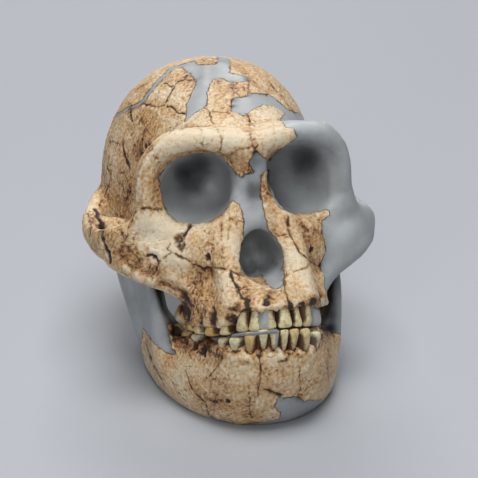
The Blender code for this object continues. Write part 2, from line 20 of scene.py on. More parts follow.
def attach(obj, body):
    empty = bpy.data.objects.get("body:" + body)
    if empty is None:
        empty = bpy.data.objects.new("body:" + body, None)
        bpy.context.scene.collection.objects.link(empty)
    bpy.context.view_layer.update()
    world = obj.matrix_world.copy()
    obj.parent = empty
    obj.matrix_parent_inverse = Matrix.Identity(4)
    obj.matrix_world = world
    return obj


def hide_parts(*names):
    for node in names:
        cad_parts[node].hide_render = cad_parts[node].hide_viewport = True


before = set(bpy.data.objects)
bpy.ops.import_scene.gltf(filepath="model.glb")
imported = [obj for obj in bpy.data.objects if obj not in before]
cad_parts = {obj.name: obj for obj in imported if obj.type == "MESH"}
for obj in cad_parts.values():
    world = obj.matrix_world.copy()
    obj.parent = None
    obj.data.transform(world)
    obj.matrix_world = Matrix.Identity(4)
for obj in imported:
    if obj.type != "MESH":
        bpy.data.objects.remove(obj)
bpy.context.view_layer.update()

# Camera. It stands about 90 cm from the face, a little above it and to its
# right, behind a long lens, as the photograph does.
PICTURE = 478
FOCAL_PIXELS = 1682.0
VIEW_SIDE = math.radians(-14.0)
VIEW_HEIGHT = math.radians(22.0)
VIEW_DISTANCE = 0.9
AIM = Vector((0.0, -0.04515, 0.118))
AIM_PIXEL = (250.0, 189.0)
SENSOR = 36.0

view_back = Vector((math.sin(VIEW_SIDE) * math.cos(VIEW_HEIGHT),
                    -math.cos(VIEW_SIDE) * math.cos(VIEW_HEIGHT),
                    math.sin(VIEW_HEIGHT)))
view_right = Vector((math.cos(VIEW_SIDE), math.sin(VIEW_SIDE), 0.0))
view_up = view_back.cross(view_right)
aim_across = (AIM_PIXEL[0] - PICTURE / 2) / FOCAL_PIXELS
aim_down = (AIM_PIXEL[1] - PICTURE / 2) / FOCAL_PIXELS
eye_point = AIM + VIEW_DISTANCE * (view_back - view_right * aim_across + view_up * aim_down)

lens = bpy.data.cameras.new("camera")
lens.sensor_width = SENSOR
lens.lens = SENSOR * FOCAL_PIXELS / PICTURE
lens.clip_start = 0.05
lens.clip_end = 60.0
camera = bpy.data.objects.new("camera", lens)
turned = Matrix((view_right, view_up, view_back)).transposed()
camera.matrix_world = Matrix.Translation(eye_point) @ turned.to_4x4()
bpy.context.scene.collection.objects.link(camera)
bpy.context.scene.camera = camera
bpy.context.scene.view_settings.view_transform = "Standard"


# Cranium. One hollow shell of painted resin, cast in a mould, from the brow ridges
# to the neck crest, with the cheek arches and the upper jaw. Its crowns are cut off
# here, and separate teeth are set in their sockets further down.
MM = 0.001
CRANIUM_VOXEL = 1.87 * MM
SEAM_GROWTH = 0.22 * MM
# teeth from the middle to the back, in millimetres: out, back, length, breadth, crown,
# root, ochre share, grey share (a minus for the inner half), drop under the bite line
UPPER_RIGHT = (
    (4.8, -0.9, 9.6, 7.6, 9.5, 6.0, 0.15, 0.9, 1.4),
    (11.2, 1.3, 6.4, 7.0, 9.5, 6.0, 0.1, 0.0, 1.8),
    (16.6, 5.4, 7.4, 9.6, 10.5, 9.0, 0.2, 0.0, 2.2),
    (22.6, 12.2, 7.0, 11.0, 7.0, 4.0, 0.45, 0.0, 3.8),
    (27.9, 19.6, 8.4, 12.0, 6.5, 3.0, 0.95, 0.0, 4.6),
    (31.0, 30.0, 10.0, 12.0, 6.0, 3.0, 0.5, 0.1, 4.2),
    (32.0, 41.0, 11.0, 12.6, 6.0, 3.0, 0.8, 0.0, 3.6),
    (32.6, 53.0, 10.6, 12.4, 6.0, 3.0, 1.0, 0.0, 3.2))
UPPER_LEFT = (
    (4.6, -1.6, 8.0, 7.6, 10.0, 6.0, 0.1, 0.0, 1.5),
    (12.2, 0.4, 5.2, 7.0, 9.0, 6.5, 0.1, 0.0, 2.0),
    (18.2, 4.6, 7.2, 9.4, 10.5, 9.0, 0.3, 0.0, 2.8),
    (23.0, 11.6, 7.4, 10.6, 8.0, 6.0, 0.0, 1.0, 3.9),
    (25.0, 19.6, 8.0, 10.6, 7.0, 4.0, 0.5, 0.0, 4.4),
    (27.4, 29.6, 10.8, 11.6, 6.6, 4.0, 0.6, 0.0, 4.6),
    (29.4, 42.4, 12.0, 12.4, 6.4, 4.0, 0.6, 0.0, 4.6),
    (30.2, 55.6, 11.6, 12.0, 6.2, 4.0, 0.6, 0.0, 4.6))
MIDDLE_BACK = 100.15
BITE_HEIGHT = 62.0
BITE_FALL = 0.345
# gum line over the bite line, in millimetres, from the last right molar round to the left one
UPPER_SHOWN = (
    1.6, 1.6, 1.6, 1.4, 3.2, 11.2, 11.0, 10.8, 11.0, 10.2, 10.2, 8.8, 7.0, 6.6, 6.6, 6.6)
GUM_DIP = 2.6
# the block that takes the crowns off, in millimetres: inside and outside of them, past the
# last one and away from the gum
BLOCK_INSIDE = -1.3
BLOCK_OUTSIDE = 5.0
BLOCK_PAST = 8.0
BLOCK_REACH = 22.0


def hidden_object(name, bm):
    """Store a bmesh as an object, linked to the scene."""
    mesh = bpy.data.meshes.new(name)
    bm.to_mesh(mesh)
    bm.free()
    thing = bpy.data.objects.new(name, mesh)
    bpy.context.scene.collection.objects.link(thing)
    return thing


def bake_modifiers(thing):
    """Turn an object's modifiers into plain mesh."""
    graph = bpy.context.evaluated_depsgraph_get()
    baked = bpy.data.meshes.new_from_object(thing.evaluated_get(graph))
    thing.modifiers.clear()
    thing.data = baked


def whole_row(right, left):
    """One jaw's teeth from the last right molar to the left one: out, back, breadth, drop."""
    row = []
    for side, teeth in ((-1.0, right[::-1]), (1.0, left)):
        row += [(side * tooth[0], tooth[1], tooth[3], tooth[-1]) for tooth in teeth]
    return row


def bent_bar(line, reach):
    """A bar along a tooth row, from points of out, back, inner side, outer side and level."""
    bm = bmesh.new()
    bmesh.ops.create_grid(bm, x_segments=1, y_segments=len(line) - 1, size=1.0)
    ordered = sorted(bm.verts, key=lambda vert: (round(vert.co.y, 4), vert.co.x))
    for number, (out, back, inner, outer, level) in enumerate(line):
        before = line[max(0, number - 1)]
        after = line[min(len(line) - 1, number + 1)]
        along = Vector((after[0] - before[0], after[1] - before[1])).normalized()
        for corner, aside in ((ordered[2 * number], inner), (ordered[2 * number + 1], outer)):
            x = out + along.y * aside
            y = back - along.x * aside
            corner.co = Vector((x, y - MIDDLE_BACK, level)) * MM
    made = bmesh.ops.extrude_face_region(bm, geom=bm.faces[:])
    moved = [item for item in made["geom"] if isinstance(item, bmesh.types.BMVert)]
    bmesh.ops.translate(bm, vec=Vector((0.0, 0.0, reach * MM)), verts=moved)
    return bm


def crown_block(row, shown, low_side):
    """A bent bar round all crowns of one jaw, up to their scalloped gum line."""
    teeth = [(*tooth[:3], height) for tooth, height in zip(row, shown)]
    first, last = teeth[0], teeth[-1]
    line = [(first[0], first[1] + BLOCK_PAST, *first[2:])]
    for one, other in zip(teeth, teeth[1:]):
        middle = [0.5 * (value + next_value) for value, next_value in zip(one, other)]
        lower = min(one[3], other[3])
        middle[3] = max(0.7 * lower, lower - GUM_DIP)
        line += [one, tuple(middle)]
    line += [last, (last[0], last[1] + BLOCK_PAST, *last[2:])]
    turn_up = -1.0 if low_side else 1.0
    points = []
    for out, back, broad, height in line:
        level = BITE_HEIGHT - BITE_FALL * back + turn_up * height
        points.append((out, back, BLOCK_INSIDE - 0.5 * broad, BLOCK_OUTSIDE + 0.5 * broad, level))
    bm = bent_bar(points, -turn_up * BLOCK_REACH)
    bmesh.ops.recalc_face_normals(bm, faces=bm.faces[:])
    return hidden_object("crown_block", bm)


def cut_away(thing, cutter):
    """Take one closed shape out of another and drop the cutter."""
    step = thing.modifiers.new("cut", "BOOLEAN")
    step.operation = "DIFFERENCE"
    step.solver = "EXACT"
    step.object = cutter
    bake_modifiers(thing)
    bpy.data.objects.remove(cutter, do_unlink=True)


def solid_copy(node):
    """A merged copy of a CAD node's mesh."""
    bm = bmesh.new()
    bm.from_mesh(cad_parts[node].data)
    bmesh.ops.remove_doubles(bm, verts=bm.verts[:], dist=1e-6)
    return hidden_object("copy_of_" + node, bm)


def fuse(name, solids, voxel):
    """One closed skin over several solids, whose thin seams close as they grow."""
    whole = bmesh.new()
    for solid in solids:
        part = bmesh.new()
        part.from_mesh(solid.data)
        part.normal_update()
        for vert in part.verts:
            vert.co += vert.normal * SEAM_GROWTH
        grown = bpy.data.meshes.new("grown")
        part.to_mesh(grown)
        part.free()
        whole.from_mesh(grown)
        bpy.data.meshes.remove(grown)
        bpy.data.objects.remove(solid, do_unlink=True)
    skin = hidden_object(name, whole)
    remesh = skin.modifiers.new("remesh", "REMESH")
    remesh.mode = "VOXEL"
    remesh.voxel_size = voxel
    bake_modifiers(skin)
    return skin


def read_places(mesh):
    places = np.empty(len(mesh.vertices) * 3, np.float32)
    mesh.vertices.foreach_get("co", places)
    return places.reshape(-1, 3).astype(float)


def write_places(mesh, places):
    mesh.vertices.foreach_set("co", places.astype(np.float32).ravel())
    mesh.update()


def read_normals(mesh):
    normals = np.empty(len(mesh.vertices) * 3, np.float32)
    mesh.vertices.foreach_get("normal", normals)
    return normals.reshape(-1, 3).astype(float)


def neighbour_mean(mesh):
    """A function that gives each vertex the mean of its neighbours' values."""
    edges = np.empty(len(mesh.edges) * 2, np.int32)
    mesh.edges.foreach_get("vertices", edges)
    edges = edges.reshape(-1, 2)
    count = len(mesh.vertices)
    ends = np.concatenate([edges[:, 0], edges[:, 1]])
    others = np.concatenate([edges[:, 1], edges[:, 0]])
    degree = np.maximum(1, np.bincount(ends, minlength=count))

    def mean(values):
        columns = values.reshape(count, -1)
        result = np.empty_like(columns)
        for column in range(columns.shape[1]):
            sums = np.bincount(ends, weights=columns[others, column], minlength=count)
            result[:, column] = sums / degree
        return result.reshape(values.shape)

    return mean


def smooth_evenly(mesh, rounds):
    """Take facets out of a mesh; each shrinking step is followed by a growing one."""
    mean = neighbour_mean(mesh)
    places = read_places(mesh)
    for step in range(rounds):
        for factor in (0.55, -0.57):
            places = places + factor * (mean(places) - places)
    write_places(mesh, places)


def refine(mesh, chosen):
    """Halve the faces whose vertices are all chosen."""
    bm = bmesh.new()
    bm.from_mesh(mesh)
    whole = {face.index for face in bm.faces if all(chosen[vert.index] for vert in face.verts)}
    edges = [edge for edge in bm.edges if any(face.index in whole for face in edge.link_faces)]
    bmesh.ops.subdivide_edges(bm, edges=edges, cuts=1, use_grid_fill=True)
    bm.to_mesh(mesh)
    bm.free()


def seen_by_camera(places, normals, tree):
    """True for each vertex that the camera sees, by a ray that starts just off the surface."""
    towards = np.array(eye_point) - places
    towards /= np.linalg.norm(towards, axis=1)[:, None]
    facing = (towards * normals).sum(axis=1)
    seen = np.zeros(len(places), bool)
    for index in np.nonzero(facing > 0.02)[0]:
        start = places[index] + normals[index] * 0.5 * MM + towards[index] * 0.6 * MM
        hit = tree.ray_cast(Vector(start), Vector(towards[index]))
        seen[index] = hit[0] is None
    return seen


def tree_of(mesh):
    bm = bmesh.new()
    bm.from_mesh(mesh)
    tree = BVHTree.FromBMesh(bm)
    bm.free()
    return tree


def to_picture(places):
    """Pixel coordinates of points, as columns x and y."""
    away = places - np.array(eye_point)
    depth = -(away @ np.array(view_back))
    across = away @ np.array(view_right) / depth
    rise = away @ np.array(view_up) / depth
    half = PICTURE / 2
    return np.stack([half + FOCAL_PIXELS * across, half - FOCAL_PIXELS * rise], axis=1)


def from_picture(x, y):
    """Direction of the ray through a pixel."""
    half = PICTURE / 2
    ray = view_right * (x - half) + view_up * (half - y) - view_back * FOCAL_PIXELS
    return ray.normalized()


def laid_on(tree, outline, closed, spacing=1.2):
    """Points of a pixel line, laid on the surface that the camera sees there."""
    points = [Vector(point) for point in outline]
    if closed:
        points.append(points[0])
    result = []
    for first, second in zip(points, points[1:]):
        steps = max(1, int((second - first).length / spacing))
        for step in range(steps):
            pixel = first.lerp(second, step / steps)
            hit = tree.ray_cast(eye_point, from_picture(pixel.x, pixel.y))
            if hit[0] is not None:
                result.append((hit[0], pixel, (second - first).normalized()))
    return result


def inside(pixels, outline):
    """True for each pixel coordinate that lies in a closed outline."""
    x, y = pixels[:, 0], pixels[:, 1]
    result = np.zeros(len(pixels), bool)
    for (x0, y0), (x1, y1) in zip(outline, outline[1:] + outline[:1]):
        if y0 == y1:
            continue
        crosses = (y0 > y) != (y1 > y)
        result ^= crosses & (x < (x1 - x0) * (y - y0) / (y1 - y0) + x0)
    return result


# outlines of the grey filler as the camera sees it, in pixels
VAULT_BAND = [
    (116, 117.5), (130, 109.5), (143.5, 103.5), (148.5, 96), (158.5, 84), (172, 70.5), (181, 67),
    (185, 70), (197, 80), (196, 83), (192, 93), (187, 104), (186, 118), (184.5, 124), (194, 115),
    (204, 108), (207, 104), (207, 94), (209, 86), (214, 80), (223, 78.5), (232, 83), (236, 81),
    (248, 80.5), (250, 78), (240, 75), (229, 73), (230, 63), (225, 50), (218, 50), (217.5, 61.5),
    (215, 64.5), (198, 65), (195, 61.5), (190, 62), (181, 64.5), (171, 68), (157, 81),
    (146, 93.5), (142.5, 100.5), (130, 106.5), (116, 114.5)]
LEFT_BROW = [
    (231, 110), (232, 100), (237, 98), (247, 96), (249, 93), (270, 95), (279, 102), (287, 109),
    (298, 114), (320, 110), (400, 150), (400, 290), (330, 292), (324, 288), (325, 277),
    (319.5, 265), (326.4, 250), (322.6, 236), (322, 221), (330, 214.6), (328.7, 208.5),
    (318.7, 211), (309.8, 213.5), (292, 213.5), (281.7, 208.4), (271.5, 195.6), (267.7, 182.9),
    (269, 162.4), (274, 156), (287, 144.5), (298, 138), (293, 128), (286, 127), (280.5, 120),
    (285, 113.5), (279, 109), (271, 105), (262, 105), (251, 110), (244, 116)]
EYE_AND_BRIDGE = [
    (159.5, 175.5), (167.6, 165), (180.2, 157), (196.3, 153.4), (213.5, 153.6), (223.8, 158.2),
    (230.7, 167.4), (235.3, 173.7), (241, 176.6), (250, 173.7), (255, 173), (249.5, 163),
    (255.5, 150.5), (262, 157), (271, 161), (269, 168), (263, 173), (261.6, 176), (260.5, 187),
    (262.5, 205), (265, 217), (269, 231), (276, 238), (281, 248), (283.8, 262), (283.5, 276),
    (283, 285), (276.6, 289.6), (272, 288), (266, 283), (262, 274.5), (255, 277), (247, 277),
    (241.5, 272), (239.6, 262), (240.5, 250), (244, 238), (244, 228.5), (244, 220), (242, 211.5),
    (239.7, 204.2), (233.6, 200.4), (228.8, 203), (226.4, 209), (219, 216.4), (207, 223),
    (190, 224.2), (176.7, 221.8), (168.2, 213.9), (163.3, 200.6), (160.3, 187.3)]
CRANIUM_FILLER = (VAULT_BAND, LEFT_BROW, EYE_AND_BRIDGE)

# cracks as the camera sees them: half width in millimetres, depth, pixel points
CRANIUM_CRACKS = (
    (0.8, 0.9, ((190, 224), (190, 228), (187, 232), (184, 236))),
    (1.1, 1.3, ((95.5, 210), (98, 217), (101.5, 223.6), (102.7, 238), (107.6, 251.5),
        (111.2, 262.4))),
    (0.4, 0.5, ((88, 214), (91, 224), (90, 236))),
    (0.3, 0.4, ((119, 226), (125, 240), (131, 252), (140, 260))),
    (0.7, 0.9, ((247, 309), (248.5, 318), (250.5, 328))),
    (0.4, 0.5, ((175.5, 254), (168, 249), (171, 243))),
    (0.3, 0.3, ((221, 216), (222, 230), (221.5, 246), (222, 262))),
    (0.3, 0.3, ((229, 208), (230, 222), (228, 240))),
    (0.35, 0.4, ((120, 170), (127, 178), (131, 190), (127, 200))),
    (0.3, 0.4, ((104, 150), (109, 160), (107, 172))),
    (0.3, 0.3, ((142, 120), (147, 130), (143, 140), (135, 145))),
    (0.3, 0.3, ((300, 225), (309, 231), (318, 230))),
    (0.3, 0.4, ((272, 262), (279, 266), (285.6, 272))),
    (0.4, 0.5, ((174.2, 251.5), (166, 256), (159.7, 260), (156.7, 269.7), (153, 275))),
    (0.7, 0.8, ((147.6, 255.2), (152, 254), (156, 257), (159, 261))),
    (0.5, 0.6, ((175.5, 254), (184, 257.6), (192.4, 263.6), (204.5, 267.9), (217.9, 267.3),
        (227.6, 269.7), (238.5, 274))),
    (0.9, 1.0, ((231.2, 272.1), (232.4, 280.6), (238.5, 288))),
    (0.5, 0.6, ((238.5, 288), (241.5, 297.6), (247.6, 300.6))),
    (0.6, 0.6, ((140.3, 209.7), (146.4, 207.9), (153.6, 209.7), (162, 209))),
    (0.35, 0.4, ((136, 211.5), (129.4, 224.8), (128.2, 234.5), (123.3, 244.2))),
    (0.5, 0.5, ((110.2, 169.7), (110.2, 181.2), (105.6, 193.8), (98.7, 206.5))),
    (0.8, 0.8, ((129.7, 107.7), (130.8, 115.8), (132.6, 122.7))),
    (0.8, 0.8, ((122.8, 139.9), (123.4, 150.2), (126.3, 159.4), (129.7, 167.4))),
    (0.4, 0.5, ((110.2, 141.6), (115.9, 142.2), (121.7, 147.9))),
    (0.6, 0.7, ((141.2, 103.7), (150.4, 104.9), (157.2, 107.7), (164.1, 104.9), (172.2, 107.7),
        (179, 113.5), (186, 113.5))),
    (0.6, 0.6, ((165.3, 83.6), (169.9, 85.9), (174.5, 85.9), (171, 92.8), (165.3, 103.1))),
    (0.5, 0.5, ((174.5, 86), (177.9, 81.3), (184.8, 79.6), (194, 81.3))),
    (0.4, 0.4, ((184.8, 73.3), (186, 76), (185, 79.6))),
    (0.25, 0.3, ((199.7, 127.2), (203.2, 137.6), (203.2, 147.9))),
    (0.4, 0.5, ((209.5, 112.3), (211.2, 120.4), (218.1, 130.7), (222.1, 138.7), (219.8, 151.4))),
    (0.4, 0.4, ((205.5, 108.9), (210, 111.7), (220, 112.5), (230.7, 112.9))),
    (0.25, 0.3, ((184.8, 127.8), (199.7, 126.1), (213.5, 127.2))),
    (0.35, 0.4, ((219.2, 151.9), (229.6, 154.8), (236.5, 150.2), (250, 147.3))),
    (0.9, 0.6, ((149.2, 143.3), (152.7, 150.2))),
    (0.4, 0.4, ((138.9, 151.9), (145, 152.5))),
    (0.4, 0.4, ((137.7, 89.4), (149.2, 82.5))),
    (0.4, 0.4, ((248.6, 116.5), (250, 127), (251, 140.8), (253.7, 149.7))),
    (0.3, 0.4, ((250, 141), (255, 139.5), (258.8, 144.6), (254, 149.5), (250, 144.6))),
    (0.5, 0.5, ((288.1, 216), (286.8, 228.8), (291.9, 239), (299.6, 251.7), (309.8, 261.9),
        (321.3, 267))),
    (0.3, 0.4, ((274.1, 235.2), (286.8, 235.2))),
    (0.4, 0.4, ((294.5, 272.1), (304.7, 268.3), (311, 262))),
    (0.5, 0.5, ((285.6, 272.1), (284.3, 284.9), (286.8, 297.7), (291.9, 310.4))),
    (0.3, 0.3, ((269, 291.3), (270, 297.7))),
    (0.4, 0.4, ((233.3, 81), (233.5, 88), (234.5, 97), (233, 107))),
    (0.4, 0.4, ((248.6, 80.8), (248.6, 94.8))),
    (0.4, 0.4, ((269, 83.4), (281.7, 97.4), (294.5, 112.7))),
    (0.3, 0.3, ((233.5, 89), (241, 88), (248, 90))),
)
# pits: pixel x and y, radius and depth in millimetres
CRANIUM_PITS = (
    (179, 239.5, 2.6, 2.2), (181, 246, 2.6, 1.8), (208.2, 257.6, 1.9, 1.8), (153, 233, 0.8, 0.6),
    (311, 249.5, 1.9, 1.6), (154.5, 257.5, 1.3, 1.2), (159, 162.3, 0.8, 0.5),
    (146, 146, 1.3, 0.8), (171.5, 86.5, 1.3, 0.8), (108.5, 253, 1.6, 1.4), (187, 300, 1.4, 0.9),
    (266, 303, 1.7, 1.8))
# stains, and painted shade and light: pixel x and y, radius in pixels, strength (a minus is
# paler). The dark patches at (200, 162), (180, 171), (306, 157), (190, 186), (300, 178) and
# (344, 186) are painted shade in and beside the eye sockets under the brow. Those at
# (253, 190), (252, 207) and (256, 162) are painted shade on the nose bridge under the brow.
# The paler ones at (198, 210) and (300, 200) are painted light on the socket floors.
CRANIUM_STAINS_AND_PAINTED_LIGHT = (
    (105, 232, 15, 0.2), (215, 298, 18, 0.16), (190, 186, 15, 0.44), (300, 178, 16, 0.16),
    (344, 186, 12, 0.12), (234, 321, 5, 0.7), (247, 306, 3.5, 0.6), (272, 304, 4, 0.45),
    (292, 308, 3, 0.5), (302, 305, 3, 0.5), (312, 301, 5, 0.5), (321, 301, 4, 0.6),
    (237, 309, 3, 0.4), (184, 311, 7, 0.45), (186, 322, 6, 0.4), (197, 321, 4, 0.3),
    (215, 322, 4, 0.3), (200, 162, 15, 0.66), (180, 171, 10, 0.45), (306, 157, 17, 0.56),
    (253, 190, 11, 0.5), (252, 207, 8, 0.2), (256, 162, 8, 0.25), (198, 210, 14, -0.16),
    (300, 200, 14, -0.1), (312, 130, 14, -0.25), (345, 232, 18, -0.3), (332, 250, 12, -0.2),
    (212, 72, 16, 0.2), (222, 103, 12, 0.12), (174, 267, 14, -0.14), (126, 182, 16, -0.12),
    (162, 228, 16, -0.1), (262, 246, 9, 0.25), (212, 319, 6, 0.6), (190, 321, 7, 0.45),
    (201, 324, 5, 0.4), (181, 308, 7, 0.5), (236, 306, 4, 0.5), (248, 302, 4, 0.4),
    (268, 299, 5, 0.55), (291, 305, 4, 0.5), (303, 303, 4, 0.4), (313, 300, 5, 0.45),
    (322, 296, 4, 0.4), (105, 234, 11, 0.2), (95, 250, 8, 0.2), (250, 300, 16, 0.14),
    (225, 315, 8, 0.15), (160, 270, 10, 0.12), (160, 245, 16, -0.16), (178, 262, 16, -0.16),
    (215, 100, 22, 0.08), (262, 112, 20, 0.06), (152, 228, 12, -0.1), (135, 165, 34, 0.12),
    (122, 196, 26, 0.21), (150, 148, 10, 0.19), (126, 120, 14, 0.06), (130, 262, 16, 0.2),
    (148, 268, 12, 0.08), (166, 279, 12, 0.14), (92, 226, 12, 0.21), (200, 242, 13, 0.22),
    (212, 252, 10, 0.19), (196, 276, 14, 0.19), (196, 300, 20, 0.17), (184, 294, 12, 0.31),
    (262, 272, 8, 0.12), (311, 242, 15, 0.31), (292, 222, 10, 0.28), (240, 166, 11, 0.28),
    (268, 190, 10, 0.25), (300, 292, 14, 0.06), (262, 300, 14, 0.06), (205, 312, 24, 0.12),
    (225, 112, 12, 0.09), (262, 92, 16, 0.03), (112, 246, 14, 0.12), (190, 140, 24, -0.3),
    (222, 132, 22, -0.26), (262, 124, 20, -0.2), (166, 168, 14, -0.16), (164, 232, 18, -0.3),
    (148, 222, 14, -0.2), (216, 286, 12, -0.3), (231, 240, 9, -0.34), (112, 215, 9, -0.34),
    (298, 258, 11, -0.34), (250, 305, 12, -0.1), (178, 100, 10, -0.2), (288, 110, 20, -0.1),
    (305, 275, 10, -0.15), (210, 95, 14, -0.1))
# ridges and swellings: height and half width in millimetres, pixel points
CRANIUM_RIDGES = (
    (-1.8, 5.0, ((251, 172), (252, 185), (254, 198))),
    (-3.2, 4.5, ((324, 296), (325, 302), (325, 308))),
    (-3.0, 4.0, ((163, 286), (170, 289), (177, 292), (183, 296))),
    (0.9, 1.8, ((138, 199), (138.5, 188), (140, 175), (149, 157), (164, 142), (185, 125),
        (202, 109))),
    (0.8, 1.6, ((97, 213), (106, 215), (116, 219), (125, 222))),
    (2.2, 1.5, ((251, 246), (253, 256), (256, 266), (258, 274))),
    (1.1, 3.0, ((196, 194), (198, 195))),
    (1.3, 2.6, ((138, 276), (142, 279))),
    (1.2, 2.2, ((150, 281), (154, 283))),
    (1.0, 2.0, ((126, 268), (129, 271))),
    (0.7, 1.6, ((152, 250), (157, 252), (160, 256))),
)


def in_any(pixels, outlines):
    """True for each pixel coordinate that lies in one of some outlines."""
    result = np.zeros(len(pixels), bool)
    for outline in outlines:
        result |= inside(pixels, outline)
    return result


def border_points(tree, outlines):
    """Surface points where the paint changes along the given outlines."""
    result = []
    for outline in outlines:
        laid = laid_on(tree, outline, True)
        if not laid:
            continue
        pixels = np.array([(pixel.x, pixel.y) for point, pixel, along in laid])
        across = np.array([(-along.y, along.x) for point, pixel, along in laid])
        step = 1.5 * across
        one = in_any(pixels + step, outlines)
        other = in_any(pixels - step, outlines)
        for (point, pixel, along), differs in zip(laid, one != other):
            if differs:
                result.append(point)
    return result


def distances(places, points, reach):
    """Distance in millimetres from each place to the nearest of some points."""
    result = np.full(len(places), reach)
    if not points:
        return result
    tree = KDTree(len(points))
    for number, point in enumerate(points):
        tree.insert(point, number)
    tree.balance()
    for index, place in enumerate(places):
        away = tree.find(Vector(place))[2] / MM
        result[index] = min(reach, away)
    return result


def nearest_crack(places, tree, cracks, reach):
    """Distance in millimetres from each place to the nearest crack, its half width and depth."""
    points = []
    facts = []
    for half, depth, line in cracks:
        for point, pixel, along in laid_on(tree, line, False, 0.8):
            points.append(point)
            facts.append((half, depth))
    found = KDTree(max(1, len(points)))
    for number, point in enumerate(points):
        found.insert(point, number)
    found.balance()
    away = np.full(len(places), reach)
    width = np.full(len(places), 0.4)
    depth = np.zeros(len(places))
    for index, place in enumerate(places):
        point, number, distance = found.find(Vector(place))
        if number is not None and distance / MM < reach:
            away[index] = distance / MM
            width[index], depth[index] = facts[number]
    return away, width, depth


PLATE_SEED = 11
# the vector noise takes its offsets from a seed, which without this comes from the clock
NOISE_SEED = 11
noise.seed_set(NOISE_SEED)


def plates(places, centre, radii, count):
    """Broken plates for the sides that the photograph hides: edge distance and number."""
    draw = random.Random(PLATE_SEED)
    found = KDTree(count)
    for number in range(count):
        direction = Vector((draw.gauss(0, 1), draw.gauss(0, 1), draw.gauss(0, 1))).normalized()
        found.insert(Vector(centre) + Vector(direction * Vector(radii)), number)
    found.balance()
    edge = np.empty(len(places))
    plate = np.empty(len(places), int)
    for index, place in enumerate(places):
        here = Vector(place)
        wander = noise.noise_vector(here / (9.0 * MM)) * 2.6 * MM
        wander += noise.noise_vector(here / (2.5 * MM)) * 0.7 * MM
        near, far = found.find_n(here + wander, 2)
        edge[index] = (far[2] - near[2]) / MM * 0.5
        plate[index] = near[1]
    return edge, plate


def store(mesh, name, values):
    attribute = mesh.attributes.new(name, "FLOAT", "POINT")
    attribute.data.foreach_set("value", np.asarray(values, np.float32))


def wobble(places):
    """Small sideways shifts that make a drawn line ragged."""
    shifts = []
    for place in places:
        spot = Vector(place) / MM
        shifts.append(noise.noise_vector(spot / 4.0) * 0.7 + noise.noise_vector(spot / 1.5) * 0.4)
    return np.array(shifts) * MM


def relief(places, size_mm):
    """Smooth noise of a given grain, one number for each place."""
    scale = 1.0 / (size_mm * MM)
    return np.array([noise.noise(Vector(place) * scale) for place in places])


upper_row = whole_row(UPPER_RIGHT, UPPER_LEFT)
crowns = crown_block(upper_row, UPPER_SHOWN, False)
upper_jaw = solid_copy("upper_jaw")
cut_away(upper_jaw, crowns)
cranium_nodes = ["braincase", "brow_and_eye_rims", "upper_jaw", "cheek_left", "cheek_right",
                 "cheek_arch_left", "cheek_arch_right"]
solids = [upper_jaw] + [solid_copy(node) for node in cranium_nodes if node != "upper_jaw"]
cranium = fuse("cranium", solids, CRANIUM_VOXEL)
smooth_evenly(cranium.data, 7)


def floor_frame(places):
    """Columns out, back and up in millimetres, with back counted from the front teeth."""
    scaled = places / MM
    return scaled[:, 0], scaled[:, 1] + MIDDLE_BACK, scaled[:, 2]


def socket_grime(places, row, shown, turn_up):
    """Dark wash round the necks of the teeth, from 0 to 1."""
    out, back, up = floor_frame(places)
    grime = np.zeros(len(places))
    for (tooth_out, tooth_back, broad, drop), height in zip(row, shown):
        away = np.hypot(out - tooth_out, back - tooth_back)
        level = turn_up * (up - BITE_HEIGHT + BITE_FALL * tooth_back)
        near = np.exp(-(away / (0.64 * broad)) ** 4)
        grime = np.maximum(grime, near * np.exp(-(np.maximum(0.0, level - height) / 1.3) ** 2))
    return grime


# how far from a crack or a border the mesh is finest, in millimetres
FINE_ZONE = 1.25
# how far a border, a crack and a ridge are looked for, in millimetres
BORDER_REACH = 6.0
CRACK_REACH = 5.0
RIDGE_REACH = 30.0
# relief in millimetres: bone over filler, its waves and its grain, and the filler's waves
BONE_STAND = 0.20
BONE_WAVES = 0.26
BONE_GRAIN = 0.32
FILLER_WAVES = 0.05
STEP_BLEND = 0.25
GROOVE_DEPTH = 0.4
GROOVE_HALF = 0.5
# cracks: the least half width, the share that is cut in the mesh, and the half width
# and depth of those between the plates on the hidden sides
LEAST_CRACK = 0.2
CRACK_CUT = 0.9
PLATE_CRACK = (0.5, 0.45)
# brown wash: beside cracks, beside borders on bone and on filler, and round the teeth
CRACK_WASH = 0.30
BONE_WASH = 0.26
FILLER_WASH = 0.08
TOOTH_WASH = 0.46


def refine_shown(mesh, outlines, cracks):
    """Halve the faces of the bone that the camera sees, and again along cracks and borders."""
    places = read_places(mesh)
    seen = seen_by_camera(places, read_normals(mesh), tree_of(mesh))
    refine(mesh, seen & ~in_any(to_picture(places), outlines))
    smooth_evenly(mesh, 2)
    tree = tree_of(mesh)
    lines = border_points(tree, outlines)
    for half, depth, line in cracks:
        lines.extend(point for point, pixel, along in laid_on(tree, line, False))
    refine(mesh, distances(read_places(mesh), lines, BORDER_REACH) < FINE_ZONE)
    smooth_evenly(mesh, 1)


def pit_depth(places, tree, pits):
    """Depth in millimetres of round holes with ragged edges."""
    depth = np.zeros(len(places))
    rough = 1.0 + 0.45 * relief(places, 1.4)
    for x, y, radius, deep in pits:
        hit = tree.ray_cast(eye_point, from_picture(x, y))
        if hit[0] is not None:
            far = np.linalg.norm(places - np.array(hit[0]), axis=1) / MM
            depth = np.maximum(depth, deep * np.exp(-(far / radius * rough) ** 4))
    return depth


def ridge_height(places, tree, ridges):
    """Height in millimetres of low ridges along drawn lines."""
    height = np.zeros(len(places))
    for top, half, line in ridges:
        laid = [point for point, pixel, along in laid_on(tree, line, False)]
        height += top * np.exp(-(distances(places, laid, RIDGE_REACH) / half) ** 2)
    return height


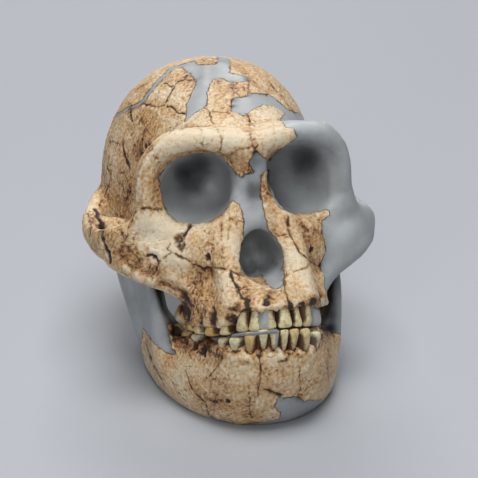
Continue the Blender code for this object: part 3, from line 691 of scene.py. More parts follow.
def drawn_stain_and_painted_light(pixels, seen, stains_and_painted_light):
    """Darker and paler patches on the side that the camera sees: stains, and painted shade and
    light.
    """
    stain_and_painted_light = np.zeros(len(pixels))
    for x, y, radius, strength in stains_and_painted_light:
        far = ((pixels - np.array((x, y))) ** 2).sum(axis=1)
        stain_and_painted_light += np.where(seen, strength, 0.0) * np.exp(-far / radius ** 2)
    return stain_and_painted_light


def hollow_depths(mesh):
    """How far each vertex lies under its surroundings, near by and over a wider patch."""
    places = read_places(mesh)
    normals = read_normals(mesh)
    mean = neighbour_mean(mesh)
    level = places
    depths = []
    for rounds in (3, 14):
        for step in range(rounds):
            level = mean(level)
        depths.append(((level - places) * normals).sum(axis=1) / MM)
    return depths


def dress(skin, outlines, cracks, pits, ridges, stains_and_painted_light,
          hidden_filler, plate_shape, filler_plates, sockets):
    """Give a skin its cracks, steps and pits in the mesh, and the values that its paint reads."""
    mesh = skin.data
    refine_shown(mesh, outlines, cracks)
    tree = tree_of(mesh)
    places = read_places(mesh)
    normals = read_normals(mesh)
    seen = seen_by_camera(places, normals, tree)
    ragged = places + wobble(places)

    # millimetres into the filler, or with a minus into the bone
    edge, plate = plates(places, *plate_shape)
    hidden_fill = hidden_filler(places) | np.isin(plate, filler_plates)
    fill = np.where(seen, in_any(to_picture(ragged), outlines), hidden_fill)
    border = distances(ragged, border_points(tree, outlines), BORDER_REACH)
    border = np.where(seen | (border < 2.0), border, np.minimum(border, edge + 0.4))
    signed = np.where(fill, border, -border)
    share = neighbour_mean(mesh)(fill.astype(float))
    hidden_edge = (share > 0.01) & (share < 0.99) & ~seen
    signed = np.where(hidden_edge, (share - 0.5) * 1.5, signed)

    away, width, depth = nearest_crack(ragged, tree, cracks, CRACK_REACH)
    width = width * (1.0 + 0.9 * relief(places, 3.0))
    split = np.exp(-(away / np.maximum(width, LEAST_CRACK)) ** 2) * depth
    plate_away = np.where(seen | fill, 9.0, edge)
    plate_split = np.exp(-(plate_away / PLATE_CRACK[0]) ** 2) * PLATE_CRACK[1]
    split = np.where(fill, 0.0, np.maximum(split, plate_split))
    pit = pit_depth(places, tree, pits)

    wash = CRACK_WASH * np.exp(-away / 1.8) * (depth > 0.0)
    wash = wash + np.where(fill, FILLER_WASH, BONE_WASH) * np.exp(-abs(signed) / 1.5)
    wash = wash + TOOTH_WASH * socket_grime(places, *sockets)
    # stains, and painted shade and light, as patches drawn on the side that the camera sees
    stain_and_painted_light = drawn_stain_and_painted_light(to_picture(places), seen, stains_and_painted_light)
    stain_and_painted_light = stain_and_painted_light + wash * (1.0 + 1.6 * relief(places, 2.6))

    coarse = relief(places, 6.0)
    fine = relief(places, 1.6)
    bone = 1.0 / (1.0 + np.exp(np.clip(signed / STEP_BLEND, -30.0, 30.0)))
    sink = GROOVE_DEPTH * np.exp(-(signed / GROOVE_HALF) ** 2) + CRACK_CUT * split + pit
    sink = sink - ridge_height(places, tree, ridges)
    rise = bone * (BONE_STAND + BONE_WAVES * coarse + BONE_GRAIN * fine)
    rise = rise + (1.0 - bone) * FILLER_WAVES * coarse
    shaped = places + normals * ((rise - sink) * MM)[:, None]
    shaped[:, 2] = np.maximum(shaped[:, 2], 0.0)
    write_places(mesh, shaped)

    near, wide = hollow_depths(mesh)
    store(mesh, "filler", signed)
    store(mesh, "split", np.clip(split * 1.7 + pit * 0.45 * (1.0 + 1.2 * fine), 0.0, 1.0))
    store(mesh, "stain_and_painted_light", stain_and_painted_light)
    store(mesh, "hollow", np.clip(near * 2.0 + wide * 0.5, -1.0, 1.0))
    mesh.shade_smooth()


# the line between the ear holes, in millimetres, and the face's tip of 15 degrees
EAR_BACK = 116.0
EAR_UP = 111.5
TIP_COSINE = 0.9659
TIP_SINE = 0.2588


def ear_frame(places):
    """Out, back and up in millimetres from the line between the ear holes."""
    out, back, up = floor_frame(places)
    level_back = TIP_COSINE * back - TIP_SINE * up - EAR_BACK
    level_up = TIP_SINE * back + TIP_COSINE * up - EAR_UP
    return out, level_back, level_up


def cranium_hidden_filler(places):
    """Filler on the faces that the photograph hides: eye sockets, nose and the left cheek."""
    out, back, up = ear_frame(places)
    eyes = (abs(out) - 27.0) ** 2 + (up - 19.0) ** 2 < 22.0 ** 2
    eyes = eyes & (back > -98.0) & (back < -52.0)
    nose = (abs(out) < 12.5) & (up > -36.0) & (up < 2.0) & (back > -114.0) & (back < -60.0)
    left = (out > 48.0) & (back < 2.0) & (up < 30.0)
    return eyes | nose | left


# plates of the hidden sides: centre and radii of the ball they lie on, their number
CRANIUM_PLATES = ((0.0, 0.036, 0.098), (0.066, 0.085, 0.066), 34)
CRANIUM_FILLER_PLATES = (3, 9, 17, 22, 30)

dress(cranium, CRANIUM_FILLER, CRANIUM_CRACKS, CRANIUM_PITS, CRANIUM_RIDGES, CRANIUM_STAINS_AND_PAINTED_LIGHT,
      cranium_hidden_filler, CRANIUM_PLATES, CRANIUM_FILLER_PLATES, (upper_row, UPPER_SHOWN, 1.0))


def new_paint(name):
    """A material with its nodes, its shader and the coordinates that its patterns read."""
    material = bpy.data.materials.new(name)
    material.use_nodes = True
    tree = material.node_tree
    coords = tree.nodes.new("ShaderNodeTexCoord").outputs["Object"]
    return material, tree, tree.nodes["Principled BSDF"], coords


def add_noise(tree, coords, scale, detail, roughness, output="Fac"):
    node = tree.nodes.new("ShaderNodeTexNoise")
    node.inputs["Scale"].default_value = scale
    node.inputs["Detail"].default_value = detail
    node.inputs["Roughness"].default_value = roughness
    tree.links.new(coords, node.inputs["Vector"])
    return node.outputs[output]


def add_cells(tree, coords, scale, feature):
    """Distances in a pattern of cells, for pores and hairline cracks."""
    node = tree.nodes.new("ShaderNodeTexVoronoi")
    node.feature = feature
    node.inputs["Scale"].default_value = scale
    tree.links.new(coords, node.inputs["Vector"])
    return node.outputs["Distance"]


def add_bump(tree, shader, height, strength, distance):
    node = tree.nodes.new("ShaderNodeBump")
    node.inputs["Strength"].default_value = strength
    node.inputs["Distance"].default_value = distance
    tree.links.new(height, node.inputs["Height"])
    tree.links.new(node.outputs["Normal"], shader.inputs["Normal"])


def add_attribute(tree, name):
    node = tree.nodes.new("ShaderNodeAttribute")
    node.attribute_name = name
    return node.outputs["Fac"]


def add_math(tree, operation, *values, clamp=False):
    node = tree.nodes.new("ShaderNodeMath")
    node.operation = operation
    node.use_clamp = clamp
    for slot_number, value in enumerate(values):
        if isinstance(value, (int, float)):
            node.inputs[slot_number].default_value = value
        else:
            tree.links.new(value, node.inputs[slot_number])
    return node.outputs[0]


def add_ramp(tree, factor, stops):
    node = tree.nodes.new("ShaderNodeValToRGB")
    ramp = node.color_ramp
    while len(ramp.elements) < len(stops):
        ramp.elements.new(0.5)
    for element, (place, colour) in zip(ramp.elements, stops):
        element.position = place
        element.color = (*colour, 1.0)
    tree.links.new(factor, node.inputs["Fac"])
    return node.outputs["Color"]


def add_mix(tree, factor, first, second):
    node = tree.nodes.new("ShaderNodeMix")
    node.data_type = "RGBA"
    tree.links.new(factor, node.inputs["Factor"])
    for name, value in (("A", first), ("B", second)):
        socket = [entry for entry in node.inputs if entry.name == name and entry.type == "RGBA"][0]
        if isinstance(value, tuple):
            socket.default_value = (*value, 1.0)
        else:
            tree.links.new(value, socket)
    return [entry for entry in node.outputs if entry.type == "RGBA"][0]


# colours from dark to light, each with its place on the scale from 0 to 1
BONE_TONES = (
    (0.0, (0.028, 0.012, 0.007)), (0.14, (0.115, 0.050, 0.022)), (0.32, (0.34, 0.175, 0.074)),
    (0.52, (0.56, 0.36, 0.172)), (0.76, (0.71, 0.535, 0.325)), (1.0, (0.82, 0.71, 0.53)))
WARM_TONES = (
    (0.0, (0.030, 0.011, 0.006)), (0.14, (0.13, 0.048, 0.018)), (0.32, (0.36, 0.168, 0.060)),
    (0.52, (0.57, 0.325, 0.136)), (0.76, (0.71, 0.475, 0.245)), (1.0, (0.80, 0.64, 0.43)))
FILLER_TONES = (
    (0.0, (0.014, 0.015, 0.016)), (0.3, (0.11, 0.117, 0.12)), (0.66, (0.35, 0.37, 0.378)),
    (1.0, (0.52, 0.55, 0.56)))
CRACK_COLOUR = (0.035, 0.016, 0.010)


def cast_paint(name, tone):
    """Painted cast: bone with brown wash in its hollows, and plain grey filler; both are darker or
    paler by the drawn stains, painted shade and painted light.
    """
    material, tree, shader, coords = new_paint(name)
    broad = add_noise(tree, coords, 38.0, 4.0, 0.6)
    warmth = add_noise(tree, coords, 62.0, 3.0, 0.6)
    mottle = add_noise(tree, coords, 210.0, 5.0, 0.65)
    grain = add_noise(tree, coords, 800.0, 4.0, 0.7)
    drawn_out = tree.nodes.new("ShaderNodeMapping")
    drawn_out.inputs["Scale"].default_value = (1.0, 0.45, 0.28)
    tree.links.new(coords, drawn_out.inputs["Vector"])
    fibre = add_noise(tree, drawn_out.outputs["Vector"], 950.0, 3.0, 0.6)

    pore = add_cells(tree, coords, 520.0, "F1")
    pore = add_math(tree, "MULTIPLY_ADD", pore, -5.0, 1.0, clamp=True)
    sparse = add_math(tree, "MULTIPLY_ADD", mottle, 9.0, -4.7, clamp=True)
    pore = add_math(tree, "MULTIPLY", pore, sparse)
    bent = tree.nodes.new("ShaderNodeVectorMath")
    bent.operation = "MULTIPLY_ADD"
    tree.links.new(add_noise(tree, coords, 140.0, 3.0, 0.6, "Color"), bent.inputs[0])
    bent.inputs[1].default_value = (0.008, 0.008, 0.008)
    tree.links.new(coords, bent.inputs[2])
    hair = add_cells(tree, bent.outputs["Vector"], 85.0, "DISTANCE_TO_EDGE")
    hair = add_math(tree, "MULTIPLY_ADD", hair, -32.0, 1.0, clamp=True)
    sparse = add_noise(tree, coords, 75.0, 2.0, 0.5)
    sparse = add_math(tree, "MULTIPLY_ADD", sparse, 9.0, -4.4, clamp=True)
    hair = add_math(tree, "MULTIPLY", hair, sparse)

    # bone, from its patterns, its stains with painted shade and light, and its hollows to its
    # colour
    stain_and_painted_light = add_attribute(tree, "stain_and_painted_light")
    value = add_math(tree, "MULTIPLY_ADD", broad, 0.95, tone - 0.46)
    for pattern, weight in ((mottle, 0.85), (grain, 1.05), (fibre, 0.3)):
        centred = add_math(tree, "SUBTRACT", pattern, 0.5)
        value = add_math(tree, "ADD", value, add_math(tree, "MULTIPLY", centred, weight))
    for pattern, weight in ((pore, -0.45), (hair, -0.42), (stain_and_painted_light, -1.0)):
        value = add_math(tree, "ADD", value, add_math(tree, "MULTIPLY", pattern, weight))
    hollow = add_math(tree, "MULTIPLY", add_attribute(tree, "hollow"), 0.58)
    value = add_math(tree, "SUBTRACT", value, hollow, clamp=True)
    warmth = add_math(tree, "MULTIPLY_ADD", warmth, 3.4, -1.3, clamp=True)
    bone = add_mix(tree, warmth,
                   add_ramp(tree, value, BONE_TONES), add_ramp(tree, value, WARM_TONES))
    bone = add_mix(tree, add_attribute(tree, "split"), bone, CRACK_COLOUR)

    # filler, darker or paler by its stains and by painted shade and light
    grey = add_math(tree, "MULTIPLY", broad, 0.4)
    grey = add_math(tree, "ADD", grey, add_math(tree, "MULTIPLY", mottle, 0.2))
    grey = add_math(tree, "SUBTRACT", add_math(tree, "ADD", grey, 0.4), stain_and_painted_light, clamp=True)
    filler = add_ramp(tree, grey, FILLER_TONES)

    # both together, with a dark ragged line where they meet
    wander = add_math(tree, "MULTIPLY", add_math(tree, "SUBTRACT", mottle, 0.5), 1.6)
    border = add_math(tree, "ADD", add_attribute(tree, "filler"), wander)
    mask = add_math(tree, "MULTIPLY_ADD", border, 3.0, 0.5, clamp=True)
    rim = add_math(tree, "ABSOLUTE", add_math(tree, "ADD", border, 0.25))
    rim = add_math(tree, "MULTIPLY_ADD", rim, -2.6, 1.1, clamp=True)
    colour = add_mix(tree, mask, bone, filler)
    colour = add_mix(tree, add_math(tree, "MULTIPLY", rim, 0.8), colour, CRACK_COLOUR)
    tree.links.new(colour, shader.inputs["Base Color"])
    rough = add_math(tree, "MULTIPLY_ADD", mottle, 0.2, 0.36)
    tree.links.new(rough, shader.inputs["Roughness"])
    shader.inputs["Specular IOR Level"].default_value = 0.5

    height = add_math(tree, "MULTIPLY", grain, 0.7)
    for pattern, weight in ((mottle, 0.8), (fibre, 0.4), (pore, -0.5), (hair, -0.3)):
        height = add_math(tree, "ADD", height, add_math(tree, "MULTIPLY", pattern, weight))
    height = add_math(tree, "MULTIPLY", height, add_math(tree, "SUBTRACT", 1.08, mask))
    add_bump(tree, shader, height, 0.8, 0.0012)
    return material


cranium.data.materials.clear()
cranium.data.materials.append(cast_paint("cranium_paint", 0.68))
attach(cranium, "root")
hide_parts(*cranium_nodes)

# Lower jaw. A second resin cast, which rests loose under the cranium: bone from the
# chin to the last teeth, and grey filler for both branches and part of the chin.
LOWER_RIGHT = (
    (1.6, -2.6, 5.2, 6.6, 8.0, 9.0, 0.3, -0.9, 1.6),
    (7.2, -1.7, 5.6, 7.0, 8.0, 9.0, 0.15, 0.0, 0.7),
    (13.4, 1.2, 7.0, 9.0, 9.0, 9.0, 0.8, 0.0, 1.6),
    (18.8, 7.2, 8.0, 9.4, 7.0, 5.0, 0.1, 0.15, 4.4),
    (23.0, 15.2, 6.4, 9.6, 6.6, 5.0, 0.25, 0.1, 4.8),
    (28.0, 25.4, 0.0, 12.0, 6.0, 5.0, 0.0, 0.0, 8.0),
    (31.4, 37.0, 9.0, 11.0, 6.4, 5.0, 0.3, 0.35, 4.0),
    (33.4, 52.0, 11.0, 11.4, 6.6, 5.0, 0.9, 0.1, 3.6))
LOWER_LEFT = (
    (3.8, -2.6, 4.8, 6.8, 9.0, 12.0, 0.2, 0.0, 1.9),
    (9.2, -1.8, 5.8, 7.2, 8.5, 10.0, 0.5, 0.0, 2.1),
    (15.8, 1.2, 7.0, 9.4, 9.5, 9.0, 0.45, 0.0, 2.9),
    (22.0, 7.4, 6.4, 9.6, 8.5, 7.0, 0.2, 0.1, 6.0),
    (22.6, 15.2, 8.0, 10.0, 8.0, 5.0, 0.4, 0.0, 4.9),
    (25.4, 25.4, 11.4, 11.4, 7.4, 5.0, 0.4, 0.0, 5.0),
    (28.4, 38.6, 12.6, 12.0, 7.0, 5.0, 0.5, 0.0, 5.0),
    (31.4, 52.4, 13.0, 12.0, 6.8, 5.0, 0.6, 0.0, 5.0))
JAW_VOXEL = 1.7 * MM
LOWER_SHOWN = (
    7.5, 7.5, 10.5, 11.5, 12.0, 17.5, 14.5, 14.6, 18.5, 16.5, 17.5, 15.5, 10.0, 9.5, 9.5, 9.5)
MANDIBLE_FILLER = (
    [
        (100, 245), (200, 245), (200, 318), (180, 322), (167, 324), (168.8, 337.6),
        (175.5, 353.5), (173, 354), (164.5, 351), (154.8, 343.6), (147.6, 335.2), (143, 327),
        (142.5, 336), (140.5, 345.5), (120, 350)],
    [
        (318, 255), (355, 255), (355, 333), (343, 334), (336, 333), (322, 330)],
    [
        (279, 398), (299, 397), (303, 401), (321, 400), (322, 402), (318, 412), (326, 420),
        (290, 434), (262, 434), (236, 432), (211, 421), (211, 416), (225, 421), (239, 424.5),
        (261, 422), (280, 418.6), (281, 413.5), (274, 407)],
)
MANDIBLE_CRACKS = (
    (0.4, 0.4, ((258.8, 356.3), (261, 370), (260, 381.8), (257.5, 397))),
    (0.5, 0.5, ((186, 371.6), (192.4, 389.5), (205.2, 402.2), (209, 415))),
    (0.4, 0.4, ((205, 397), (212.9, 402.2), (222, 400))),
    (0.8, 0.7, ((266, 390), (274, 392), (281.7, 396))),
    (0.3, 0.3, ((299.6, 371.6), (300, 385), (298.3, 397))),
    (0.7, 0.6, ((146.5, 346), (154.2, 366.5), (164.4, 384.4))),
    (0.3, 0.3, ((249.8, 397), (249, 408), (252, 418))),
    (0.4, 0.4, ((205, 380), (214, 372), (222, 360))),
    (0.3, 0.3, ((300, 397), (308, 386), (322, 380))),
    (0.3, 0.3, ((330, 350), (326, 362), (329, 378))),
)
MANDIBLE_PITS = ((228.2, 401.5, 1.6, 1.4), (203, 350, 3.4, 2.2), (196, 347, 2.0, 1.0))
MANDIBLE_RIDGES = (
    (1.0, 1.3, ((152, 280), (156, 300), (161, 318), (168, 335), (174, 350))),
    (0.8, 2.2, ((210, 345), (222, 352), (236, 356), (252, 358))),
    (0.6, 2.0, ((282, 356), (284, 362))),
    (0.5, 2.5, ((215, 372), (226, 362), (236, 360))),
    (0.5, 2.0, ((305, 398), (316, 388), (320, 376))),
)
# stains, and painted shade: pixel x and y, radius in pixels, strength (a minus is paler). The dark
# rows from (159.5, 286) to (173, 320) and from (328, 272) to (332, 328) are painted shade on the
# inner faces of the jaw branches. Those at (137, 302), (128, 275) and (300, 411) are painted shade
# on the right branch and under the chin.
MANDIBLE_STAINS_AND_PAINTED_SHADE = (
    (137, 302, 16, 0.14), (128, 275, 14, 0.1), (300, 411, 16, 0.16), (232, 411, 14, 0.2),
    (255, 419, 16, 0.2), (205, 404, 12, 0.16), (318, 373, 12, 0.14), (222, 388, 10, 0.16),
    (270, 376, 9, 0.1), (170, 362, 8, 0.14), (300, 391, 10, 0.14), (255, 362, 10, -0.12),
    (200, 372, 8, -0.16), (238, 369, 8, -0.14), (290, 362, 10, -0.12), (313, 350, 10, -0.14),
    (181, 380, 8, -0.16), (262, 396, 8, -0.1), (246, 392, 7, 0.12), (159.5, 286, 5.5, 0.95),
    (161.5, 294, 6, 0.95), (165, 303, 6, 0.9), (168.5, 311, 6, 0.8), (173, 320, 5, 0.6),
    (328, 272, 8, 0.8), (328, 285, 9, 0.85), (328, 300, 9, 0.8), (329, 315, 8, 0.7),
    (332, 328, 5, 0.4), (175, 330, 6, 0.4), (184, 334, 6, 0.35), (237, 352, 4, 0.35),
    (259, 351, 3, 0.3), (274, 353, 4, 0.3), (325, 331, 7, 0.4), (318, 346, 5, 0.3),
    (188, 342, 16, 0.41), (205, 347, 16, 0.45), (222, 352, 10, 0.3), (178, 335, 12, 0.38),
    (262, 350, 50, 0.04), (330, 335, 14, 0.22), (240, 385, 30, 0.09), (300, 372, 26, 0.04),
    (214, 372, 12, -0.12), (190, 362, 10, -0.12), (268, 358, 16, -0.05))


def mandible_hidden_filler(places):
    """Both branches are filler all round."""
    out, back, up = floor_frame(places)
    return 0.55 * (abs(out) - 44.0) + 0.835 * (back - 62.0) > 0.0


lower_body = solid_copy("lower_jaw_body")
lower_row = whole_row(LOWER_RIGHT, LOWER_LEFT)
cut_away(lower_body, crown_block(lower_row, LOWER_SHOWN, True))
branches = ["lower_jaw_branch_left", "lower_jaw_branch_right"]
mandible = fuse("mandible", [lower_body] + [solid_copy(node) for node in branches], JAW_VOXEL)
smooth_evenly(mandible.data, 6)
MANDIBLE_PLATES = ((0.0, -0.055, 0.024), (0.045, 0.05, 0.03), 26)
dress(mandible, MANDIBLE_FILLER, MANDIBLE_CRACKS, MANDIBLE_PITS, MANDIBLE_RIDGES, MANDIBLE_STAINS_AND_PAINTED_SHADE,
      mandible_hidden_filler, MANDIBLE_PLATES, (), (lower_row, LOWER_SHOWN, -1.0))
mandible.data.materials.clear()
# the jaw's paint is a lighter copy of the cranium's, tone 0.755 against 0.68: painted light, making
# up for the lamp above reaching the jaw less
mandible.data.materials.append(cast_paint("mandible_paint_painted_lighter", 0.755))
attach(mandible, "root")
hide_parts("lower_jaw_body", *branches)

# Teeth. Worn crowns on bare roots, which the real model has cast with its jaws; here
# each is a piece of its own. They are painted cream to ochre, with brown dirt round
# their necks, and a few are broken and made up in grey.
LEAN_UPPER = (4.6, 4.4, 3.6, 1.4, 0.6, 0.0, 0.0, 0.0)
LEAN_LOWER = (2.4, 2.4, 2.0, 1.0, 0.4, 0.0, 0.0, 0.0)
# share of the way from biting edge to root tip, the height there (up to 1 in crown
# heights, past it in root heights), and the shares of length and breadth
TOOTH_STEPS = (0.0, 0.05, 0.14, 0.3, 0.5, 0.62, 0.82, 1.0)
TOOTH_HEIGHTS = (0.0, 0.0, 0.10, 0.34, 1.0, 1.3, 1.7, 2.0)
FRONT_LENGTH = (0.0, 0.72, 0.98, 1.0, 0.86, 0.76, 0.62, 0.0)
FRONT_BREADTH = (0.0, 0.26, 0.42, 0.72, 0.94, 0.90, 0.75, 0.0)
BACK_LENGTH = (0.0, 0.66, 0.92, 1.0, 0.84, 0.74, 0.5, 0.0)
BACK_BREADTH = (0.0, 0.62, 0.88, 1.0, 0.88, 0.78, 0.5, 0.0)
BITE_GAP = 0.3
ROOT_BEND = 1.5
ENAMEL_TONES = ((0.3, (0.56, 0.43, 0.18)), (0.52, (0.85, 0.765, 0.45)), (0.75, (0.94, 0.90, 0.69)))
OCHRE_TONES = ((0.3, (0.36, 0.19, 0.05)), (0.6, (0.62, 0.39, 0.10)), (0.8, (0.74, 0.55, 0.22)))
NECK_DIRT = (0.10, 0.045, 0.02)
SPECKS = (0.09, 0.05, 0.02)
MADE_UP_GREY = (0.36, 0.38, 0.40)


def bend(value, power):
    """A signed power, for the rounded corners of a superellipse."""
    return math.copysign(abs(value) ** power, value)


def tooth_paint():
    """Worn enamel over a browner root, with dirt at the neck."""
    material, tree, shader, coords = new_paint("tooth_paint")
    mottle = add_noise(tree, coords, 330.0, 4.0, 0.6)
    grain = add_noise(tree, coords, 1100.0, 3.0, 0.6)
    colour = add_mix(tree, add_attribute(tree, "ochre"),
                     add_ramp(tree, mottle, ENAMEL_TONES), add_ramp(tree, mottle, OCHRE_TONES))
    dirt = add_math(tree, "MULTIPLY", add_attribute(tree, "depth"), 0.62)
    for pattern, weight in ((grain, 0.9), (add_attribute(tree, "contact"), 1.1)):
        dirt = add_math(tree, "ADD", dirt, add_math(tree, "MULTIPLY", pattern, weight))
    dirt = add_math(tree, "MULTIPLY_ADD", dirt, 2.0, -2.0, clamp=True)
    colour = add_mix(tree, dirt, colour, NECK_DIRT)
    speck = add_math(tree, "MULTIPLY_ADD", grain, 9.0, -5.7, clamp=True)
    colour = add_mix(tree, speck, colour, SPECKS)
    colour = add_mix(tree, add_attribute(tree, "grey"), colour, MADE_UP_GREY)
    tree.links.new(colour, shader.inputs["Base Color"])
    shader.inputs["Roughness"].default_value = 0.35
    add_bump(tree, shader, mottle, 0.3, 0.0004)
    return material


enamel_paint = tooth_paint()


def add_tooth(name, row, number, side, upper, shown):
    """A worn tooth, shaped from a sphere and set on the curve of its row."""
    out, back, long, broad, crown, root, ochre, grey, drop = row[number]
    before = row[max(0, number - 1)]
    after = row[number + 1] if number < 7 else (out + 0.4, back + 6.0)
    along = Vector((after[0] - before[0], after[1] - before[1])).normalized()
    if number == 0:
        along = Vector((1.0, 0.12)).normalized()
    across = Vector((along.y, -along.x))
    front = number < 3
    lengths, breadths = (FRONT_LENGTH, FRONT_BREADTH) if front else (BACK_LENGTH, BACK_BREADTH)
    lean = (LEAN_UPPER if upper else LEAN_LOWER)[number]
    bite = BITE_HEIGHT - BITE_FALL * back - drop + (BITE_GAP if upper else -BITE_GAP)
    gum = shown + (drop if upper else -drop)
    bm = bmesh.new()
    bmesh.ops.create_uvsphere(bm, u_segments=28, v_segments=24, radius=1.0)
    depth_values = []
    side_values = []
    grey_values = []
    for vert in bm.verts:
        share = math.acos(max(-1.0, min(1.0, vert.co.z))) / math.pi
        turn = math.atan2(vert.co.y, vert.co.x)
        a = 0.5 * long * np.interp(share, TOOTH_STEPS, lengths)
        b = 0.5 * broad * np.interp(share, TOOTH_STEPS, breadths)
        height = np.interp(share, TOOTH_STEPS, TOOTH_HEIGHTS)
        level = crown * height if height < 1.0 else crown + (height - 1.0) * root
        spot = Vector((out * side, back, level)) * 0.35
        rim = Vector((math.cos(turn), math.sin(turn), 0.0))
        wave = 1.0 + 0.05 * noise.noise(spot + rim * 1.6)
        a = a * bend(math.cos(turn), 0.8 if front else 0.72) * wave
        b = b * bend(math.sin(turn), 0.8) * wave - lean * level / crown
        b -= ROOT_BEND * max(0.0, level - gum)
        x = out + along.x * a + across.x * b
        y = back + along.y * a + across.y * b
        fall = BITE_FALL * (y - back) * max(0.0, 1.0 - level / crown)
        z = bite + (level if upper else -level) - fall
        vert.co = Vector((side * x, y - MIDDLE_BACK, z)) * MM
        depth_values.append(level / crown)
        grey_values.append(abs(grey) if number or math.cos(turn) * grey > 0.0 else 0.0)
        side_values.append(abs(math.cos(turn)) ** 2.5 * min(1.0, 0.3 + level / crown * 1.6))
    if side < 0:
        bmesh.ops.reverse_faces(bm, faces=bm.faces[:])
    bmesh.ops.recalc_face_normals(bm, faces=bm.faces[:])
    tooth = hidden_object(name, bm)
    store(tooth.data, "depth", depth_values)
    store(tooth.data, "ochre", [ochre] * len(depth_values))
    store(tooth.data, "grey", grey_values)
    store(tooth.data, "contact", side_values)
    tooth.data.shade_smooth()
    tooth.data.materials.append(enamel_paint)
    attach(tooth, "root")


for word, row, side, upper, shown in (
        ("upper_right", UPPER_RIGHT, -1.0, True, UPPER_SHOWN[7::-1]),
        ("upper_left", UPPER_LEFT, 1.0, True, UPPER_SHOWN[8:]),
        ("lower_right", LOWER_RIGHT, -1.0, False, LOWER_SHOWN[7::-1]),
        ("lower_left", LOWER_LEFT, 1.0, False, LOWER_SHOWN[8:])):
    for number in range(8):
        if row[number][2]:
            add_tooth(f"tooth_{word}_{number + 1}", row, number, side, upper, shown[number])

# Old matrix between the teeth. Dark brown fill that holds the crowns together in
# each jaw, and a thin grey strip of filler along the bite on the right.
def add_bar(name, row, first, last, low, high, inset, half, lean, material):
    """A thin bent wall along part of a tooth row, between two heights over the bite line."""
    line = []
    for place in np.arange(first, last + 0.1, 0.5):
        out, back, broad, drop = [float(np.interp(place, range(len(row)), column))
                                  for column in zip(*row)]
        level = BITE_HEIGHT - BITE_FALL * back - drop + low
        line.append((out, back, -half - inset, half - inset, level))
    bm = bent_bar(line, high - low)
    for vert in bm.verts:
        back = vert.co.y / MM + MIDDLE_BACK
        rise = abs(vert.co.z / MM - BITE_HEIGHT + BITE_FALL * back)
        front = min(1.0, max(0.0, (14.0 - back) / 9.0))
        vert.co.y += lean * rise * front * MM
    bmesh.ops.recalc_face_normals(bm, faces=bm.faces[:])
    bmesh.ops.bevel(bm, geom=bm.edges[:], offset=0.25 * MM, segments=2, affect="EDGES", profile=0.5)
    bar = hidden_object(name, bm)
    bar.data.shade_smooth()
    bar.data.materials.append(material)
    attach(bar, "root")


def plain_paint(name, dark, light):
    """Dull paint, mottled between two colours."""
    material, tree, shader, coords = new_paint(name)
    mottle = add_noise(tree, coords, 420.0, 4.0, 0.6)
    tree.links.new(add_ramp(tree, mottle, ((0.3, dark), (0.7, light))), shader.inputs["Base Color"])
    shader.inputs["Roughness"].default_value = 0.7
    return material


matrix_paint = plain_paint("matrix_paint", (0.008, 0.004, 0.003), (0.055, 0.026, 0.012))
strip_paint = plain_paint("strip_paint", (0.17, 0.185, 0.195), (0.27, 0.285, 0.30))
earth_paint = plain_paint("earth_paint", (0.030, 0.013, 0.006), (0.24, 0.115, 0.048))
add_bar("matrix_upper", upper_row, 0, 15, -1.1, 14.0, 1.2, 1.6, 0.46, matrix_paint)
add_bar("matrix_lower", lower_row, 0, 15, -16.0, -1.0, 0.2, 1.6, 0.3, earth_paint)
add_bar("bite_strip", upper_row, 4.5, 7.5, -1.0, 0.5, -2.0, 1.4, 0.0, strip_paint)

# Floor. A pale, dull sheet of paper, far wider than the cast, which stands on it.
# It belongs to the studio and not to the part.
sheet = bmesh.new()
bmesh.ops.create_grid(sheet, x_segments=1, y_segments=1, size=4.0)
floor = hidden_object("floor", sheet)
floor_material, tree, shader, coords = new_paint("floor")
shader.inputs["Base Color"].default_value = (0.42, 0.44, 0.475, 1.0)
shader.inputs["Roughness"].default_value = 0.9
floor.data.materials.append(floor_material)

# Backdrop. A pale half-ball of cloth round the floor, which fades in behind the cast,
# so that views from low down end in the same grey. Only the camera sees it, and it
# takes no part in the light.
BACKDROP_RADIUS = 3.0
BACKDROP_START = 0.85
BACKDROP_FULL = 1.5
BACKDROP_LIFT = 0.004
BACKDROP_COLOUR = (0.455, 0.48, 0.525, 1.0)
sweep = bmesh.new()
bmesh.ops.create_uvsphere(sweep, u_segments=96, v_segments=48, radius=BACKDROP_RADIUS)
bmesh.ops.bisect_plane(sweep, geom=sweep.verts[:] + sweep.edges[:] + sweep.faces[:],
                       plane_co=(0.0, 0.0, BACKDROP_LIFT), plane_no=(0.0, 0.0, -1.0),
                       clear_outer=True)
brim = [edge for edge in sweep.edges if edge.is_boundary]
bmesh.ops.holes_fill(sweep, edges=brim, sides=0)
bmesh.ops.reverse_faces(sweep, faces=sweep.faces[:])
backdrop = hidden_object("backdrop", sweep)
backdrop_material, tree, shader, coords = new_paint("backdrop")
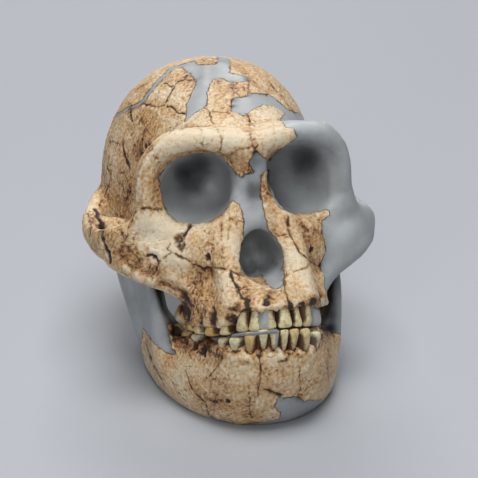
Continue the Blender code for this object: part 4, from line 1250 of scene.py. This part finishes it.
tree.nodes.remove(shader)
reach = tree.nodes.new("ShaderNodeVectorMath")
reach.operation = "LENGTH"
tree.links.new(coords, reach.inputs[0])
fade = tree.nodes.new("ShaderNodeMapRange")
fade.interpolation_type = "SMOOTHSTEP"
fade.inputs["From Min"].default_value = BACKDROP_START
fade.inputs["From Max"].default_value = BACKDROP_FULL
tree.links.new(reach.outputs["Value"], fade.inputs["Value"])
glow = tree.nodes.new("ShaderNodeEmission")
glow.inputs["Color"].default_value = BACKDROP_COLOUR
blend = tree.nodes.new("ShaderNodeMixShader")
clear = tree.nodes.new("ShaderNodeBsdfTransparent")
sources = (fade.outputs["Result"], clear.outputs[0], glow.outputs[0])
for socket, source in zip(blend.inputs, sources):
    tree.links.new(source, socket)
tree.links.new(blend.outputs[0], tree.nodes["Material Output"].inputs["Surface"])
backdrop.data.materials.append(backdrop_material)
for ray in ("diffuse", "glossy", "transmission", "shadow"):
    setattr(backdrop, "visible_" + ray, False)


# Light. One large soft light above the cast, a second one over the floor behind it
# and a weak fill from the front, in a nearly dark room.
def add_light(name, place, aim, size, power):
    """A square light that points at a place, with its side in metres and its watts."""
    data = bpy.data.lights.new(name, "AREA")
    data.shape = "SQUARE"
    data.size = size
    data.energy = power
    thing = bpy.data.objects.new(name, data)
    turn = (Vector(aim) - Vector(place)).to_track_quat("-Z", "Y").to_matrix().to_4x4()
    thing.matrix_world = Matrix.Translation(place) @ turn
    bpy.context.scene.collection.objects.link(thing)


add_light("key", (-0.05, -0.3, 1.9), (0.0, 0.0, 0.08), 1.2, 31.0)
add_light("floor_light", (0.3, 1.8, 1.6), (0.1, 1.0, 0.0), 1.1, 26.0)
add_light("fill", (-0.45, -1.2, 0.8), (0.0, 0.0, 0.1), 0.8, 6.3)
world = bpy.data.worlds.new("studio")
world.use_nodes = True
background = world.node_tree.nodes["Background"]
background.inputs["Color"].default_value = (0.92, 0.95, 1.0, 1.0)
background.inputs["Strength"].default_value = 0.05
bpy.context.scene.world = world
